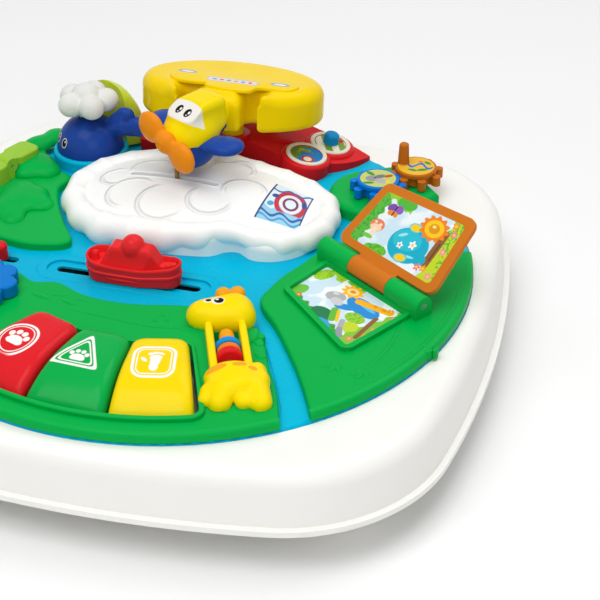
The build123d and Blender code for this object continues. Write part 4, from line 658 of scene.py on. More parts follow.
def raised(outline, profile):
    """Block standing on an outline: at each (inset, height) of the profile the outline, drawn in along its own
    normals, is carried to that height; the last ring is closed by one flat face."""
    count = len(outline)
    run = np.roll(outline, -1, 0) - np.roll(outline, 1, 0)
    inward = np.stack([-run[:, 1], run[:, 0]], 1) / np.linalg.norm(run, axis=1)[:, None]
    levels = [np.column_stack([outline + inset * inward, np.full(count, height)]) for inset, height in profile]
    ends = [face[::-1] for face in ends_of(len(profile), count)]
    return np.concatenate(levels), grid_faces(len(profile), count) + ends


def rounded_top(height, edge_r, foot=-1.0, steps=6):
    """Profile of a wall from the foot up to a quarter-round edge and the flat top."""
    turn = np.linspace(0, np.pi / 2, steps)
    return [(0, foot)] + [(edge_r * (1 - math.cos(a)), height - edge_r + edge_r * math.sin(a)) for a in turn]


def wheel_paint(name, height):
    """Glossy yellow with small cloud labels and a printed strip, drawn on the wheel's upper face only."""
    paint = Print(name)
    paint.lay_out(WHEEL, y_dir=WHEEL_Y)
    face = paint.along(WHEEL_UP, WHEEL).above(height, 0.2)
    labels = [((u, v, 7.8, 3.4, -4, LABEL_RIM), (u, v, 5, 1.7, -4, LABEL_FACE)) for u, v in WHEEL_LABELS]
    strip = paint.panel((4.6, -15.4), (19.8, 4.6), 1.5, -1.5)
    pips = [(-9.5 + 5.6 * step, -15.2 - 0.12 * step, 1.9, 1.5, 20 * step, tint) for step, tint in enumerate(STRIP_DOTS)]
    layers = [
        *paint.dots(sum(labels, ()), face),
        (strip.below(0.0) * face, STRIP_RIM),
        (strip.below(-0.9) * face, STRIP_FACE),
        *paint.dots(pips, face),
    ]
    return paint.plastic(WHEEL_YELLOW, WHEEL_DEEP, gloss=0.2, layers=layers)


dress(wheel_paint("wheel yellow", -0.6), "steering_wheel")
hub = raised(spline(HUB_CORNERS, 160, closed=True), rounded_top(height=1.6, edge_r=1.2))
build("wheel_hub", *placed(hub, WHEEL, z_dir=WHEEL_UP), wheel_paint("wheel hub yellow", 1.0), "wheel_body")

# Lime button: an arched press button of glossy lime plastic between the whale
# and the dash, which goes down in its own well.
LIME = (216, 234, 60)
moulded("button lime", LIME, "lime_button", gloss=0.22, Subsurface_Weight=0.05)

# Cloud: a frosted translucent dome with a soft scalloped rim and shallow curls
# moulded on it, a slot for the plane's post, and one printed label.
CLOUD_WHITE = (253, 253, 250)
CLOUD_SHADE = (247, 247, 245)
CURL_WHITE = (252, 252, 250)
CLOUD = (-6.0, 64.0)
CROWN_R = 129.9
CROWN_LONG_R = 351.0
CROWN_LONG_DROP = 324.0
CROWN_DROP = 61.9
# x, y, radius, and the bearing of the side that shows
CURLS = [
    (-52, 44, 17, 155), (-24, 36, 19, 220), (-48, 82, 15, 110), (8, 44, 16, 250),
    (28, 62, 15, 110), (-70, 66, 12, 190), (10, 92, 16, 85), (-20, 104, 14, 90),
]
CURL_HALF_W = 2.6
# x, y, radius
RIM_PUFFS = [
    (-95, 46, 12), (-82, 27, 12), (-62, 15, 13), (-38, 11, 13), (-14, 11, 12), (9, 14, 10), (26, 21, 8),
    (50, 21, 9), (66, 24, 9), (79, 36, 10), (87, 52, 10), (88, 68, 10), (82, 84, 11), (66, 96, 12),
    (46, 103, 12), (24, 108, 12), (0, 116, 12), (-26, 120, 12), (-52, 117, 12), (-74, 108, 12), (-90, 92, 13),
    (-98, 70, 13),
]
ROLL_STEPS = 14
ROLL_SEAT = (DECK_TOP + 5, 95)
ROLL_SINK = 0.9
PLANE_SLOT = (-26.7, 66.3)
PLANE_SLOT_BEARING = -6.2
LABEL = (60, 58)
LABEL_NAVY = (22, 50, 120)
LABEL_BLUE = (24, 92, 172)
LABEL_RED = (196, 34, 58)
# radius, half width, foot, colour
LABEL_ARCHES = [(10, 1.7, -10, LABEL_RED), (6.8, 0.9, -9, (236, 236, 240)), (4.8, 0.9, -8, (120, 30, 90))]
# height of the wave, rise, half width, colour
LABEL_WAVES = [(2.4, 14, 1.3, LABEL_BLUE), (2.2, 19, 1.0, (60, 150, 205)), (-2.0, -17, 1.1, LABEL_BLUE)]
LABEL_DOTS = [
    (-9.5, 8, 2.6, 2.6, 0, (34, 70, 150)), (-10.5, -3, 2.4, 3, 0, (70, 160, 210)),
    (12, 6, 1.8, 4.6, 12, (24, 70, 150)), (12.4, -7, 1.6, 3.6, -10, LABEL_RED),
]


def crown(x, y):
    """Height of the cloud's dome: an arc across it whose radius follows an arc along it."""
    across = CROWN_R + np.sqrt(CROWN_LONG_R**2 - (x - CLOUD[0]) ** 2) - CROWN_LONG_DROP
    return np.sqrt(across**2 - (y - CLOUD[1]) ** 2) - CROWN_DROP


def highest(*wires):
    """Greatest of several values."""
    return reduce(Wire.high, wires)


def label_layers(paint):
    """Printed label within four leaning edges: a striped arch over waves, a few spots and two dark sides."""
    u, v = paint.u, paint.v
    left, right = u - v * 0.06 + 15.6, 15.4 - u
    label = left.low(right).low(23.0 - v - u * 0.18).low(v + 22.6).above(0.0)
    wave = (u * 0.42 + v * 0.12).sine()
    span = paint.length(paint.local((3, 2), (1, 1.45), 11.4592))
    yield label, (225, 240, 246)
    yield label * (wave * 3.0 + v).below(-6.0, 1.0), (150, 205, 232)
    for r, half_w, foot, colour in LABEL_ARCHES:
        yield label * abs(span - r).below(half_w) * v.above(foot, 0.6), colour
    for tall, rise, half_w, colour in LABEL_WAVES:
        yield label * abs(wave * tall + v + rise).below(half_w), colour
    yield from paint.dots(LABEL_DOTS, label)
    yield label * left.below(1.3), LABEL_NAVY
    yield label * right.below(1.0), LABEL_NAVY


def cloud_paint(name, design=None):
    """Frosted white with moulded curls, each an arc that fades out on one side, under a printed design."""
    paint = Print(name)
    paint.lay_out((*LABEL, 0))
    waves = []
    for x, y, r, bearing in CURLS:
        arc = abs(paint.radius((x - LABEL[0], y - LABEL[1])) - r).ramp(CURL_HALF_W, 0.0)
        waves.append(arc * paint.along(aimed_at(bearing), (x, y, 0)).ramp(-0.5 * r, 0.2 * r))
    relief = highest(*waves)
    frost = paint.mix(paint.noise(14), ink(*CLOUD_SHADE), ink(*CLOUD_WHITE))
    ground = paint.mix(relief * 0.35, frost, ink(*CURL_WHITE))
    if design:
        ground = paint.print_on(ground, design(paint))
    haze = paint.noise(60, 3) * 0.1 + 0.3
    skin = {"Specular_IOR_Level": 0.3, "Subsurface_Weight": 0.12, "Subsurface_Scale": 0.004}
    return paint.surface(ground, haze, relief + paint.noise(300) * 0.03, depth=0.0022, strength=0.75, **skin)


dress(cloud_paint("cloud white", label_layers), "cloud_cover")
cloud_plain = cloud_paint("cloud puff white")
puffs = np.array(RIM_PUFFS, float)
share = np.linspace(0, len(puffs), ROLL_STEPS * len(puffs), endpoint=False)
swelling = 0.92 + 0.08 * np.cos(2 * np.pi * share)
roll_r = np.interp(share, np.arange(len(puffs)), puffs[:, 2], period=len(puffs)) * swelling
roll_line = spline(puffs[:, :2], len(share), closed=True)
inward = np.array(CLOUD) - roll_line
inward /= np.linalg.norm(inward, axis=1)[:, None]
seat = np.clip(crown(*(roll_line + inward * roll_r[:, None]).T), *ROLL_SEAT)
roll_path = np.column_stack([roll_line, np.maximum(seat - ROLL_SINK * roll_r, DECK_TOP - 3)])
build("cloud_roll", *rod(roll_path, roll_r, sides=32, closed=True), cloud_plain)
slot_run = np.array(aimed_at(PLANE_SLOT_BEARING))
slot_side = np.cross((0, 0, 1), slot_run)
lip = PLANE_SLOT + slot_shape(straight=34.5, end_l=2.2, half_w=3.3, steep=200) @ np.stack([slot_run, slot_side])[:, :2]
lip_path = np.column_stack([lip, crown(*lip.T) - 0.5])
build("cloud_slot_rim", *rod(lip_path, radius=0.9, sides=8, closed=True), cloud_plain)

# Plane: a yellow upper body with a raised windscreen, on a blue hull with two
# stubby wings, and an orange propeller with two fat blades on a pin.
PLANE = (-24.016, 66.008, 126.0)
PLANE_X = aimed_at(-118.0)
PLANE_RIGHT = aimed_at(152.0, -1.0)
PLANE_YELLOW = (250, 228, 2)
PLANE_DEEP = (242, 212, 0)
PLANE_BLUE = (30, 74, 166)
PROPELLER_ORANGE = (248, 148, 26)
SCREEN_WHITE = (238, 234, 226)
SCREEN_ALONG = 0.53
SCREEN_UP = 0.85
PLANE_EYES = [(-4.4, -0.4), (4.5, -0.9)]
CABIN_FOOT = -3.5
PROPELLER_AHEAD = 6.8
PROPELLER_TURN = math.radians(-24.0)


def brick(p, centre, half, corner_r):
    """Distance to a block with rounded corners: how far p lies outside the block's halves less the radius."""
    q = np.abs(p - np.array(centre, float)) - (np.array(half, float) - corner_r)
    return np.linalg.norm(np.maximum(q, 0), axis=-1) + np.minimum(q.max(-1), 0) - corner_r


def cabin_field(p):
    """Fuselage and windscreen block run together, cut off flat at the hull."""
    body = melt(6, *balls(p, (-15.5, 0, 0, 20.5, 20, 16.5), (-30, 0, 4, 17.5, 13, 10.5)))
    glass = (p[..., 0] + 4.0) * SCREEN_ALONG + (p[..., 2] - 14.4) * SCREEN_UP
    screen = np.maximum(brick(p, (-22, 0, 12), (19, 13.5, 12), 6), glass - 0.4)
    tail = melt(4, *balls(p, (-43, 2, 6.5, 6.5, 7, 6.5), (-40, -6, 4, 6, 6, 6)))
    nose = ball(p, (-2.5, 0, -1), (7.5, 13, 9))
    return np.maximum(melt(5, body, screen, tail, nose), CABIN_FOOT - p[..., 2])


def hull_field(p):
    """Boat-shaped belly below the cabin."""
    belly = melt(5, *balls(p, (-16, 0, -4, 21.5, 19.5, 24), (-34, 0, 0, 15, 11.5, 10)))
    return np.maximum(belly, p[..., 2] - CABIN_FOOT - 0.5)


def wing_field(p):
    """Paddle with a rounded tip, the same on either side."""
    q = np.stack([p[..., 0], np.abs(p[..., 1]), p[..., 2]], -1)
    return melt(6, *balls(q, (-20, 33, -2.5, 12.5, 11.5, 5), (-17, 20, -4, 11, 13, 4.6)))


def propeller_field(p):
    """Two fat blades on a round boss, each a flat ball beside the hub."""
    blades = [ball(p * (1, way, way), (1.6, 16.8, 0), (5.8, 12.2, 11.4)) for way in (-1, 1)]
    return melt(3, ball(p, (2, 0, 0), (7, 8.4, 8.4)), *blades)


def plane_paint():
    """Yellow with a white windscreen and two round eyes on its sloping face."""
    paint = Print("plane yellow")
    ahead_dir, up = np.array(PLANE_X), np.array((0, 0, 1))
    up_glass = np.cross(ahead_dir * SCREEN_ALONG + up * SCREEN_UP, PLANE_RIGHT)
    up_glass *= np.sign(up_glass[2])
    paint.lay_out(np.array(PLANE) - ahead_dir * 10.6 + up * 17.4, PLANE_RIGHT, up_glass)
    ahead, across, over = (paint.along(way, PLANE) for way in (PLANE_X, PLANE_RIGHT, (0, 0, 1)))
    back = ahead + 17.0
    glass = (back - across * across * 0.012).above(0.0, 0.3) * (over - 6.0 - back * 0.54).above(0.0, 0.3)
    eyes = [
        (u + right, v + high, half_x, half_y, 0, colour)
        for u, v in PLANE_EYES
        for right, high, half_x, half_y, colour in (
            (0, 0, 2.8, 3.8, (16, 16, 18)), (1, 0.6, 0.9, 1.3, (246, 246, 246)), (0.2, -2, 0.6, 0.6, (230, 230, 232)),
        )
    ]
    return paint.plastic(PLANE_YELLOW, PLANE_DEEP, gloss=0.2, layers=[(glass, SCREEN_WHITE), *paint.dots(eyes, glass)])


cabin = placed(swell((-16, 0, 4), cabin_field, reach=60, rings=72, sides=144), PLANE, PLANE_X)
build("plane_body", *cabin, plane_paint(), "plane_body", ["plane_cabin"])
belly = [swell((-16, 0, -8), hull_field, reach=60, rings=56, sides=120)]
belly += [swell((-18, side * 27, -3), wing_field, reach=40, rings=40, sides=80) for side in (-1, 1)]
plane_blue = moulded("plane blue", PLANE_BLUE, depth=0.88)
build("plane_belly", *placed(gathered(*belly), PLANE, PLANE_X), plane_blue, "plane_body", ["plane_hull"])
blade_z = (0, 0, math.cos(PROPELLER_TURN)) - np.array(PLANE_RIGHT) * math.sin(PROPELLER_TURN)
hub_place = np.array(PLANE) + np.array(PLANE_X) * PROPELLER_AHEAD
propeller = placed(swell((0.5, 0, 0), propeller_field, reach=36, rings=60, sides=120), hub_place, PLANE_X, blade_z)
propeller_orange = moulded("propeller orange", PROPELLER_ORANGE, "propeller_pin", depth=0.93)
build("propeller_blades", *propeller, propeller_orange, "propeller_body", ["plane_propeller"])

# Whale: a glossy blue dome with a raised tail and simple printed eyes, and a
# translucent white spout of five puffs that spins on a steel pin.
WHALE_BLUE = (32, 72, 158)
WHALE_DEEP = (30, 62, 146)
WHALE = (-116.0, 125.0, 78.0)
WHALE_R = 26.0
WHALE_BACK = WHALE[2] + WHALE_R
TAIL = np.array((-79.0, 119.5, 103.0))
TAIL_X = np.array(aimed_at(15.0))
WHALE_EYES = [(-129.3, 104.5, 88.7), (-137.0, 111.6, 89.5)]
EYE_DOTS = [
    (0, 0, 3, 3.9, 0, (240, 240, 240)), (0, 0, 2.5, 3.3, 0, (12, 12, 16)), (0.7, 1.1, 0.6, 0.8, 0, (245, 245, 245)),
]
SPOUT_WHITE = (230, 230, 225)
SPOUT_SHADE = (218, 219, 215)


def limb(p, start, end, start_r, end_r):
    """Distance to a round bar from start to end whose radius changes evenly along it."""
    start = np.array(start, float)
    run = np.array(end, float) - start
    share = np.clip((p - start) @ run / (run @ run), 0, 1)
    return np.linalg.norm(p - start - share[..., None] * run, axis=-1) - (start_r + (end_r - start_r) * share)


def whale_field(p):
    """Dome, bar and two tail lobes run together."""
    dome = ball(p, WHALE, (WHALE_R, WHALE_R, WHALE_R + 0.3))
    stem = limb(p, (-100, 122, 94), (-84, 119.5, 102), 5.4, 4.4)
    lobes = [
        ball(p, TAIL + TAIL_X * out + offset, radii)
        for out, offset, radii in (
            (5.5, (0, -1, -0.5), (10.5, 6.5, 8)), (-5, (0, 2.5, 8), (7.5, 5, 5.8)), (-7, (0, 0, -1), (6, 5, 7)),
        )
    ]
    return np.maximum(melt(1.0, melt(4.0, dome, stem), *lobes), WHALE[2] - 0.4 - p[..., 2])


def spout_field(p):
    """Five puffs round a taller middle puff, on a neck that widens from the whale's back."""
    x, y = WHALE[:2]
    petals = [aimed_at(18 + 72 * step, 14.3) for step in range(5)]
    rows = [(x + out, y + side, WHALE_BACK + 13, 9.7, 9.7, 9) for out, side, _ in petals]
    neck = limb(p, (x, y, WHALE_BACK + 1.8), (x, y, WHALE_BACK + 9), 8.5, 12.5)
    puffed = melt(2.2, neck, *balls(p, *rows, (x, y, WHALE_BACK + 18, 11, 11, 8.6)))
    return np.maximum(puffed, WHALE_BACK + 2.6 - p[..., 2])


def whale_paint():
    """Glossy blue with two eyes, each a white rim, a black oval and a white glint."""
    paint = Print("whale blue")
    layers = []
    for place in np.array(WHALE_EYES):
        out = (place - WHALE) / np.linalg.norm(place - WHALE)
        side = np.cross((0, 0, 1), out)
        paint.lay_out(place, side, np.cross(out, side))
        layers += paint.dots(EYE_DOTS, paint.along(out, place).above(-2.5))
    return paint.plastic(WHALE_BLUE, WHALE_DEEP, gloss=0.16, layers=layers)


whale = swell((-112, 124.2, 92), whale_field, reach=70, rings=90, sides=180)
build("whale_shell", *whale, whale_paint(), replaces=["whale_body"])
spout = swell((*WHALE[:2], WHALE_BACK + 14), spout_field, reach=45, rings=64, sides=150)
frosted = {"Subsurface_Weight": 0.15, "Subsurface_Scale": 0.004}
spout_white = Paint("spout frosted white").plastic(SPOUT_WHITE, SPOUT_SHADE, 0.3, **frosted)
build("spout_puffs", *spout, spout_white, "spout_body", ["whale_spout"])
metal("spout pin steel", STEEL, "spout_pin")

# Crocodile: lime body with scalloped flanks and a hinged upper jaw on a pin,
# with a row of low scales across its back.
CROC_LIME = (160, 207, 62)
CROC = (-166.0, 72.0, LAND_TOP)
CROC_X = aimed_at(68.5)
CROC_BACK = 13.6
CROC_SCALES = [(-46, 2.4), (-39, 3.0), (-31, 3.6), (-23, 4.2), (-15, 4.4)]


def scale(along, half):
    """Low ridge across the back: a flattened ball sunk in it."""

    def field(p):
        """Distance to the ball, cut off flat below."""
        return np.maximum(ball(p, (along, 0, CROC_BACK), (half * 0.7, half * 1.5, 1.7)), CROC_BACK - 0.6 - p[..., 2])

    return swell((along, 0, CROC_BACK), field, reach=12, rings=16, sides=32)


croc_lime = moulded("crocodile lime", CROC_LIME, "crocodile_body", "crocodile_jaw", depth=0.92, gloss=0.25)
scales = gathered(*(scale(*row) for row in CROC_SCALES))
build("crocodile_scales", *placed(scales, CROC, CROC_X), croc_lime)

# Giraffe: a rounded yellow head and body joined by two neck rails, with three
# rollers on a steel spindle between them and two soft orange horns.
GIRAFFE = (69.0, -107.0, LAND_TOP)
GIRAFFE_X = aimed_at(22.3)
GIRAFFE_Y = np.cross((0, 0, 1), GIRAFFE_X)
GIRAFFE_YELLOW = (254, 226, 0)
GIRAFFE_DEEP = (252, 218, 0)
HORN_ORANGE = (252, 168, 28)
EYE_PALE = (240, 238, 228)
EYE_DARK = (24, 14, 14)
GIRAFFE_MARKS = [
    (-9.6, -30, 6.4, 3, 4, HORN_ORANGE), (4.6, -29.4, 4.6, 2.2, 6, HORN_ORANGE),
    (12.4, -32, 2.8, 1.8, -10, HORN_ORANGE), (-3.2, 37.4, 4.4, 3.4, -22, EYE_PALE),
    (-9.6, 39, 3, 2.2, -22, EYE_PALE), (-2.6, 37.4, 3.2, 2.5, -22, EYE_DARK),
    (-9.2, 39.2, 2, 1.5, -22, EYE_DARK), (-3.6, 38.6, 1.2, 0.9, -22, EYE_PALE),
]
# top, foot, radius at the top and at the foot
GIRAFFE_LEGS = [
    ((-15, -42, 2), (-17.5, -48, 1.5), 6.0, 4.8), ((-8, -42, 3), (-9.5, -51.5, 1.5), 8.0, 7.4),
    ((4, -44, 3), (4.5, -52.5, 1.5), 5.0, 5.2), ((14, -42, 3), (14.5, -54, 1.5), 7.5, 7.4),
]
GIRAFFE_FOOT = -0.6
RAIL_X = 10.7
RAIL_HALF_W = 2.5
RAIL_HALF_L = 26.0
RAIL_TOP = 9.2
COLLAR_R = 4.9
# inset and distance along the spindle
COLLAR_PROFILE = [(3.3, 4.2), (0.6, 4.2), (0, 5), (0, 13), (0.4, 15.5)]
ROLLERS = {"blue": (20, 150, 232), "orange": (250, 132, 30), "red": (232, 28, 36)}


def head_field(p):
    """Long muzzle, round brow and chin run together and cut off flat on the land."""
    face = balls(p, (-12, 38.5, 4, 12, 10.5, 10.5), (7.5, 38, 5, 12.8, 15, 11.5), (-2, 39, 5, 12.5, 10, 10.5))
    jowl = melt(4, *balls(p, (11, 31, 4, 8.5, 8, 9), (-2, 32, 3, 12, 8, 9)))
    return np.maximum(melt(5, *face, jowl), GIRAFFE_FOOT - p[..., 2])


def trunk_field(p):
    """Chest, belly and four short legs run together."""
    belly = melt(6, *balls(p, (0, -29, 3, 17.5, 9.5, 10.5), (1, -40, 3, 19.5, 11, 10)))
    flank = melt(3, *balls(p, (15.5, -28, 3, 6, 6.5, 8), (18, -36, 3, 4.5, 6, 7)))
    legs = [limb(p, *row) for row in GIRAFFE_LEGS]
    return np.maximum(melt(1.6, melt(3, belly, flank), *legs), GIRAFFE_FOOT - p[..., 2])


def horn_field(p):
    """Two balls at the brow, just run together."""
    return melt(1.2, *balls(p, (1.4, 53.4, 9, 5.4, 5.2, 5.4), (10.6, 53.4, 9, 5.4, 5.2, 5.4)))


def rail(side):
    """Bar from the chest to the chin: a slot shape, two half circles joined by straight sides."""
    straight = RAIL_HALF_L - RAIL_HALF_W
    across, along = (slot_shape(straight, RAIL_HALF_W, RAIL_HALF_W, 10 * straight, 96) * (1, -1)).T[::-1]
    outline = np.column_stack([side * RAIL_X + across, along - 1])
    return raised(outline, rounded_top(RAIL_TOP, edge_r=1.5, foot=GIRAFFE_FOOT))


def giraffe_paint():
    """Yellow with orange patches on the chest and two printed eyes on the brow."""
    paint = Print("giraffe yellow")
    paint.lay_out(GIRAFFE, GIRAFFE_X, GIRAFFE_Y)
    layers = paint.dots(GIRAFFE_MARKS, paint.above_level(LAND_TOP + 5, 0.6))
    return paint.plastic(GIRAFFE_YELLOW, GIRAFFE_DEEP, gloss=0.2, layers=layers)


giraffe = gathered(
    swell((0, 31, 5), head_field, reach=45, rings=50, sides=140),
    swell((0, -38, 4), trunk_field, reach=45, rings=50, sides=160),
    rail(1),
    rail(-1),
)
build("giraffe_shape", *placed(giraffe, GIRAFFE, GIRAFFE_X), giraffe_paint(), replaces=["giraffe_body"])
horn_orange = moulded("horn orange", HORN_ORANGE, depth=0.94, gloss=0.25)
horns = swell((6, 52.5, 9), horn_field, reach=24, rings=36, sides=90)
build("giraffe_horn_pair", *placed(horns, GIRAFFE, GIRAFFE_X), horn_orange, replaces=["giraffe_horns"])
metal("spindle steel", STEEL, "bead_spindle", roughness=0.25)
collar = raised(slot_shape(0, COLLAR_R, COLLAR_R, steep=1, count=40), COLLAR_PROFILE)
build("spindle_collar", *placed(collar, np.array(GIRAFFE) + (0, 0, 4), GIRAFFE_X, GIRAFFE_Y), horn_orange)
for tint, colour in ROLLERS.items():
    moulded(f"roller {tint}", colour, f"roller_{tint}")

# Tug boat: one red moulding with a raised bow and stern, a rub rail round the
# hull, a plain deckhouse, bow steps, a post and a round light on its roof.
BOAT = (-22.0, -31.0, 68.4)
BOAT_RED = (244, 44, 48)
# x of the middle, radius
HULL_CIRCLES = [(-20.5, 13.2), (6, 13.2), (24.5, 9.5)]
HULL_TOP = 13.9
# inset and height
HULL_PROFILE = [
    (1.8, 0), (1.1, 0.5), (0.9, 2), (0.6, 4.5), (0.5, 6.6), (-0.2, 7.1), (-0.2, 8.2), (0.5, 8.7),
    (0.4, 11), (0, 12.4), (0.1, 13.3), (0.7, HULL_TOP), (1.6, HULL_TOP), (2.2, 13.2), (2.5, 12), (3, 9.8),
]
END_RISE = 3.1
HOUSE_FOOT = 8
POST_X = -27.5
RUB_STRIP = [(-18, -12.3, 4.6), (-6, -12.6, 4.4), (8, -12.4, 4.4)]


def hull_line(circles, count=160):
    """Outline round a row of circles, evenly spaced: in every direction, the point of the circle reaching farthest."""
    turn = np.linspace(0, 2 * np.pi, 720, endpoint=False)
    out = np.stack([np.cos(turn), np.sin(turn)], 1)
    middle, r = np.array(circles, float).T
    best = (middle[:, None] * out[:, 0] + r[:, None]).argmax(0)
    line = np.stack([middle[best], 0 * turn], 1) + r[best, None] * out
    closed = np.concatenate([line, line[:1]])
    travelled = np.concatenate([[0], np.cumsum(np.linalg.norm(np.diff(closed, axis=0), axis=1))])
    even = np.linspace(0, travelled[-1], count, endpoint=False)
    return np.stack([np.interp(even, travelled, closed[:, axis]) for axis in (0, 1)], 1)


def house_field(p):
    """Deckhouse: a block with leaning ends and sides and a bevelled front corner, under a ball."""
    x, y, z = p[..., 0], p[..., 1], p[..., 2]
    lean = 1 - 0.022 * np.clip(z - HOUSE_FOOT, -4, 20)
    block = brick(np.stack([(x + 0.5) / lean, y / lean, z], -1), (0, 0, 15.2), (23.5, 10, 11.1), 3.4)
    corner = (x - 10.5) * 0.42 - y * 0.91 - 7.6
    return np.maximum(melt(1.6, np.maximum(block, corner), ball(p, (0.5, 0, 25), 8.4)), HOUSE_FOOT - z)


def post_field(p):
    """Short bar that tapers upward."""
    return limb(p, (POST_X, 0, 8), (POST_X, 0, 15.5), 2.6, 2.4)


def bow_step(number):
    """Flat round-ended step; each next one stands farther forward, higher and narrower."""
    x, r = 22 + 3.0 * number, 3.6 - 0.7 * number
    return raised(hull_line([(x, r), (x + 0.6, r)], 40), rounded_top(14.2 + 0.8 * number, edge_r=0.5, foot=9.0))


hull_points, hull_faces = raised(hull_line(HULL_CIRCLES), HULL_PROFILE)
end_rise = END_RISE * np.clip((np.abs(hull_points[:, 0] - 0.5) - 8) / 26, 0, 1) ** 1.6
hull_points[:, 2] += end_rise * np.clip(hull_points[:, 2] / HULL_TOP, 0, 1) ** 1.5
house = swell((-3, 0, 14), house_field, reach=40, rings=70, sides=160)
post = swell((POST_X, 0, 12), post_field, reach=14, rings=20, sides=32)
strip = rod(spline(RUB_STRIP, 30), fading(30, most=0.7, least=0.05, power=0.4), sides=8)
boat = gathered((hull_points, hull_faces), house, post, *(bow_step(number) for number in range(3)), strip)
boat_red = moulded("boat red", BOAT_RED, gloss=0.18)
build("boat_shape", *placed(boat, BOAT), boat_red, "boat_body", ["tug_boat"], crease=40)

# Slide fish and flower: a red slider in its slot and a blue eight-petalled
# flower that spins on a post, with a printed ring and heart on its face.
FISH_RED = (228, 30, 38)
FLOWER_BLUE = (10, 132, 216)
FLOWER_DEEP = (4, 112, 198)
FLOWER = (-112.0, -80.0)
FLOWER_TOP = 84.0


def flower_paint():
    """Blue, with a pale printed ring round a yellow heart."""
    paint = Print("flower blue")
    paint.lay_out((*FLOWER, FLOWER_TOP))
    face = paint.above_level(FLOWER_TOP - 1)
    out = paint.radius()
    layers = [(abs(out - 10.5).below(1.2) * face, (120, 205, 250)), (out.below(6.5) * face, (250, 214, 20))]
    return paint.plastic(FLOWER_BLUE, FLOWER_DEEP, gloss=0.2, layers=layers)


moulded("fish red", FISH_RED, "slide_fish")
dress(flower_paint(), "flower_gear")

# Piano keys: three hollow wedge keys, red, green and yellow, each with a white
# printed badge. They hinge at the back and press a rubber dome.
KEY_TOP = 85.5
KEY_FOOT = 66.0
KEY_MIDDLE = 152.0
KEY_INNER_R = 117.0
KEY_NOSE_R = 184.5
KEY_HALF_W = 17.2
KEY_SPREAD = 0.146
# name, middle of the badge, bearing, colour, deep colour
KEYS = [
    ("red", (-58.3, -139.4), -111.0, (228, 34, 42), (218, 26, 36)),
    ("green", (-14.1, -146.3), -93.75, (0, 174, 76), (0, 166, 72)),
    ("yellow", (32.5, -140.7), -76.5, (250, 220, 2), (246, 212, 0)),
]
BADGE_WHITE = (248, 247, 242)
BADGE_OVALS = [(13.4, 15.0), (11.7, 13.2), (10.7, 12.1), (10.0, 11.3)]
# bearing and reach of each side
BADGE_SIDES = [(-90, 8.4), (28, 8.6), (152, 8.6)]
# x, y and two halves of each mark; a footprint's have a turn as well
PAW = [
    (-1.9, -2, 2.1, 1.5), (1.9, -2, 2.1, 1.5), (-4, 1.2, 1.25, 1.4), (-1.5, 3, 1.25, 1.4), (1.5, 3, 1.25, 1.4),
    (4, 1.2, 1.25, 1.4),
]
FOOTPRINT = [
    (0.2, -5.6, 2.8, 3.6, 0), (0.9, -0.4, 3.1, 5.4, -12), (1, 2.8, 3.8, 3, 6), (-2.6, 6.6, 1.5, 1.5, 0),
    (-0.3, 7.7, 1.2, 1.2, 0), (1.7, 7.9, 1.1, 1.1, 0), (3.6, 7.5, 1, 1, 0), (5.1, 6.6, 0.9, 0.9, 0),
    (-6.2, 1, 2.6, 1.3, -50),
]


def key_field(p):
    """Wedge with soft edges: the smooth greatest of its distances past the two sides, the ends, the top and a
    slope over the nose. Local x runs outward from the table's middle."""
    x, y, z = p[..., 0], p[..., 1], p[..., 2]
    sides = (np.abs(y) - KEY_HALF_W - KEY_SPREAD * (x - KEY_INNER_R)) * 0.99
    ends = -melt(4.0, KEY_NOSE_R - x, x - KEY_INNER_R)
    over_nose = (x - 160.0) * 0.60 + (z - KEY_TOP) * 0.80 - 2.4
    lid = -melt(14.0, KEY_TOP - z, -over_nose)
    return np.maximum(-melt(7.0, -sides, -ends, -lid), KEY_FOOT - z)


def paw(paint, u, v, size, spread=1.0):
    """Mask of a paw print: one wide pad with two rounds at its foot, and four toes."""
    rows = np.array([(0, -1.2, 3.6 * spread, 2.3), *PAW]) * size
    marks = [paint.blob((u + x * spread, v + y), (half_x, half_y)) for x, y, half_x, half_y in rows.tolist()]
    return highest(*marks)


def double_ring(outer, outer_in, inner, inner_in):
    """Mask of two rings, each the inside of one outline less that of the next."""
    return outer - outer_in + inner - inner_in


def oval_badge(paint):
    """Two ovals round a paw."""
    edge = double_ring(*(paint.blob((0, 0), half) for half in BADGE_OVALS))
    return edge.high(paw(paint, 0, 0.2, 1.6, 0.95))


def three_sided_badge(paint):
    """Two rounded triangles round a paw: the smooth greatest of the distances past three sides."""
    sides = []
    for bearing, reach in BADGE_SIDES:
        x, y, _ = aimed_at(bearing)
        sides.append(paint.u * x + paint.v * y - reach)
    joined = sides[0].maths("SMOOTH_MAX", sides[1], 5.0).maths("SMOOTH_MAX", sides[2], 5.0)
    edge = double_ring(*(joined.below(limit) for limit in (1.6, -0.1, -1.0, -1.9)))
    return edge.high(paw(paint, 0.2, -1.0, 1.25))


def square_badge(paint):
    """Two rounded squares round a child's footprint with a small leaf beside it."""
    panel = paint.panel((0, 0), (13.6, 14.6), 8.0)
    edge = double_ring(*(panel.below(limit) for limit in (0.0, -1.8, -2.8, -3.6)))
    return edge.high(highest(*(paint.blob(row[:2], row[2:4], row[4]) for row in FOOTPRINT)))


def key_paint(name, place, bearing, light, deep):
    """Glossy key with its badge drawn on the flat top."""
    paint = Print("key " + name)
    inward = aimed_at(bearing, -1.0)
    paint.lay_out((*place, KEY_TOP), (inward[1], -inward[0], 0), inward)
    badge = {"red": oval_badge, "green": three_sided_badge, "yellow": square_badge}[name](paint)
    layers = [(badge * paint.above_level(KEY_TOP - 4, 0.5), BADGE_WHITE)]
    return paint.plastic(light, deep, gloss=0.16, layers=layers, Coat_Weight=0.06)


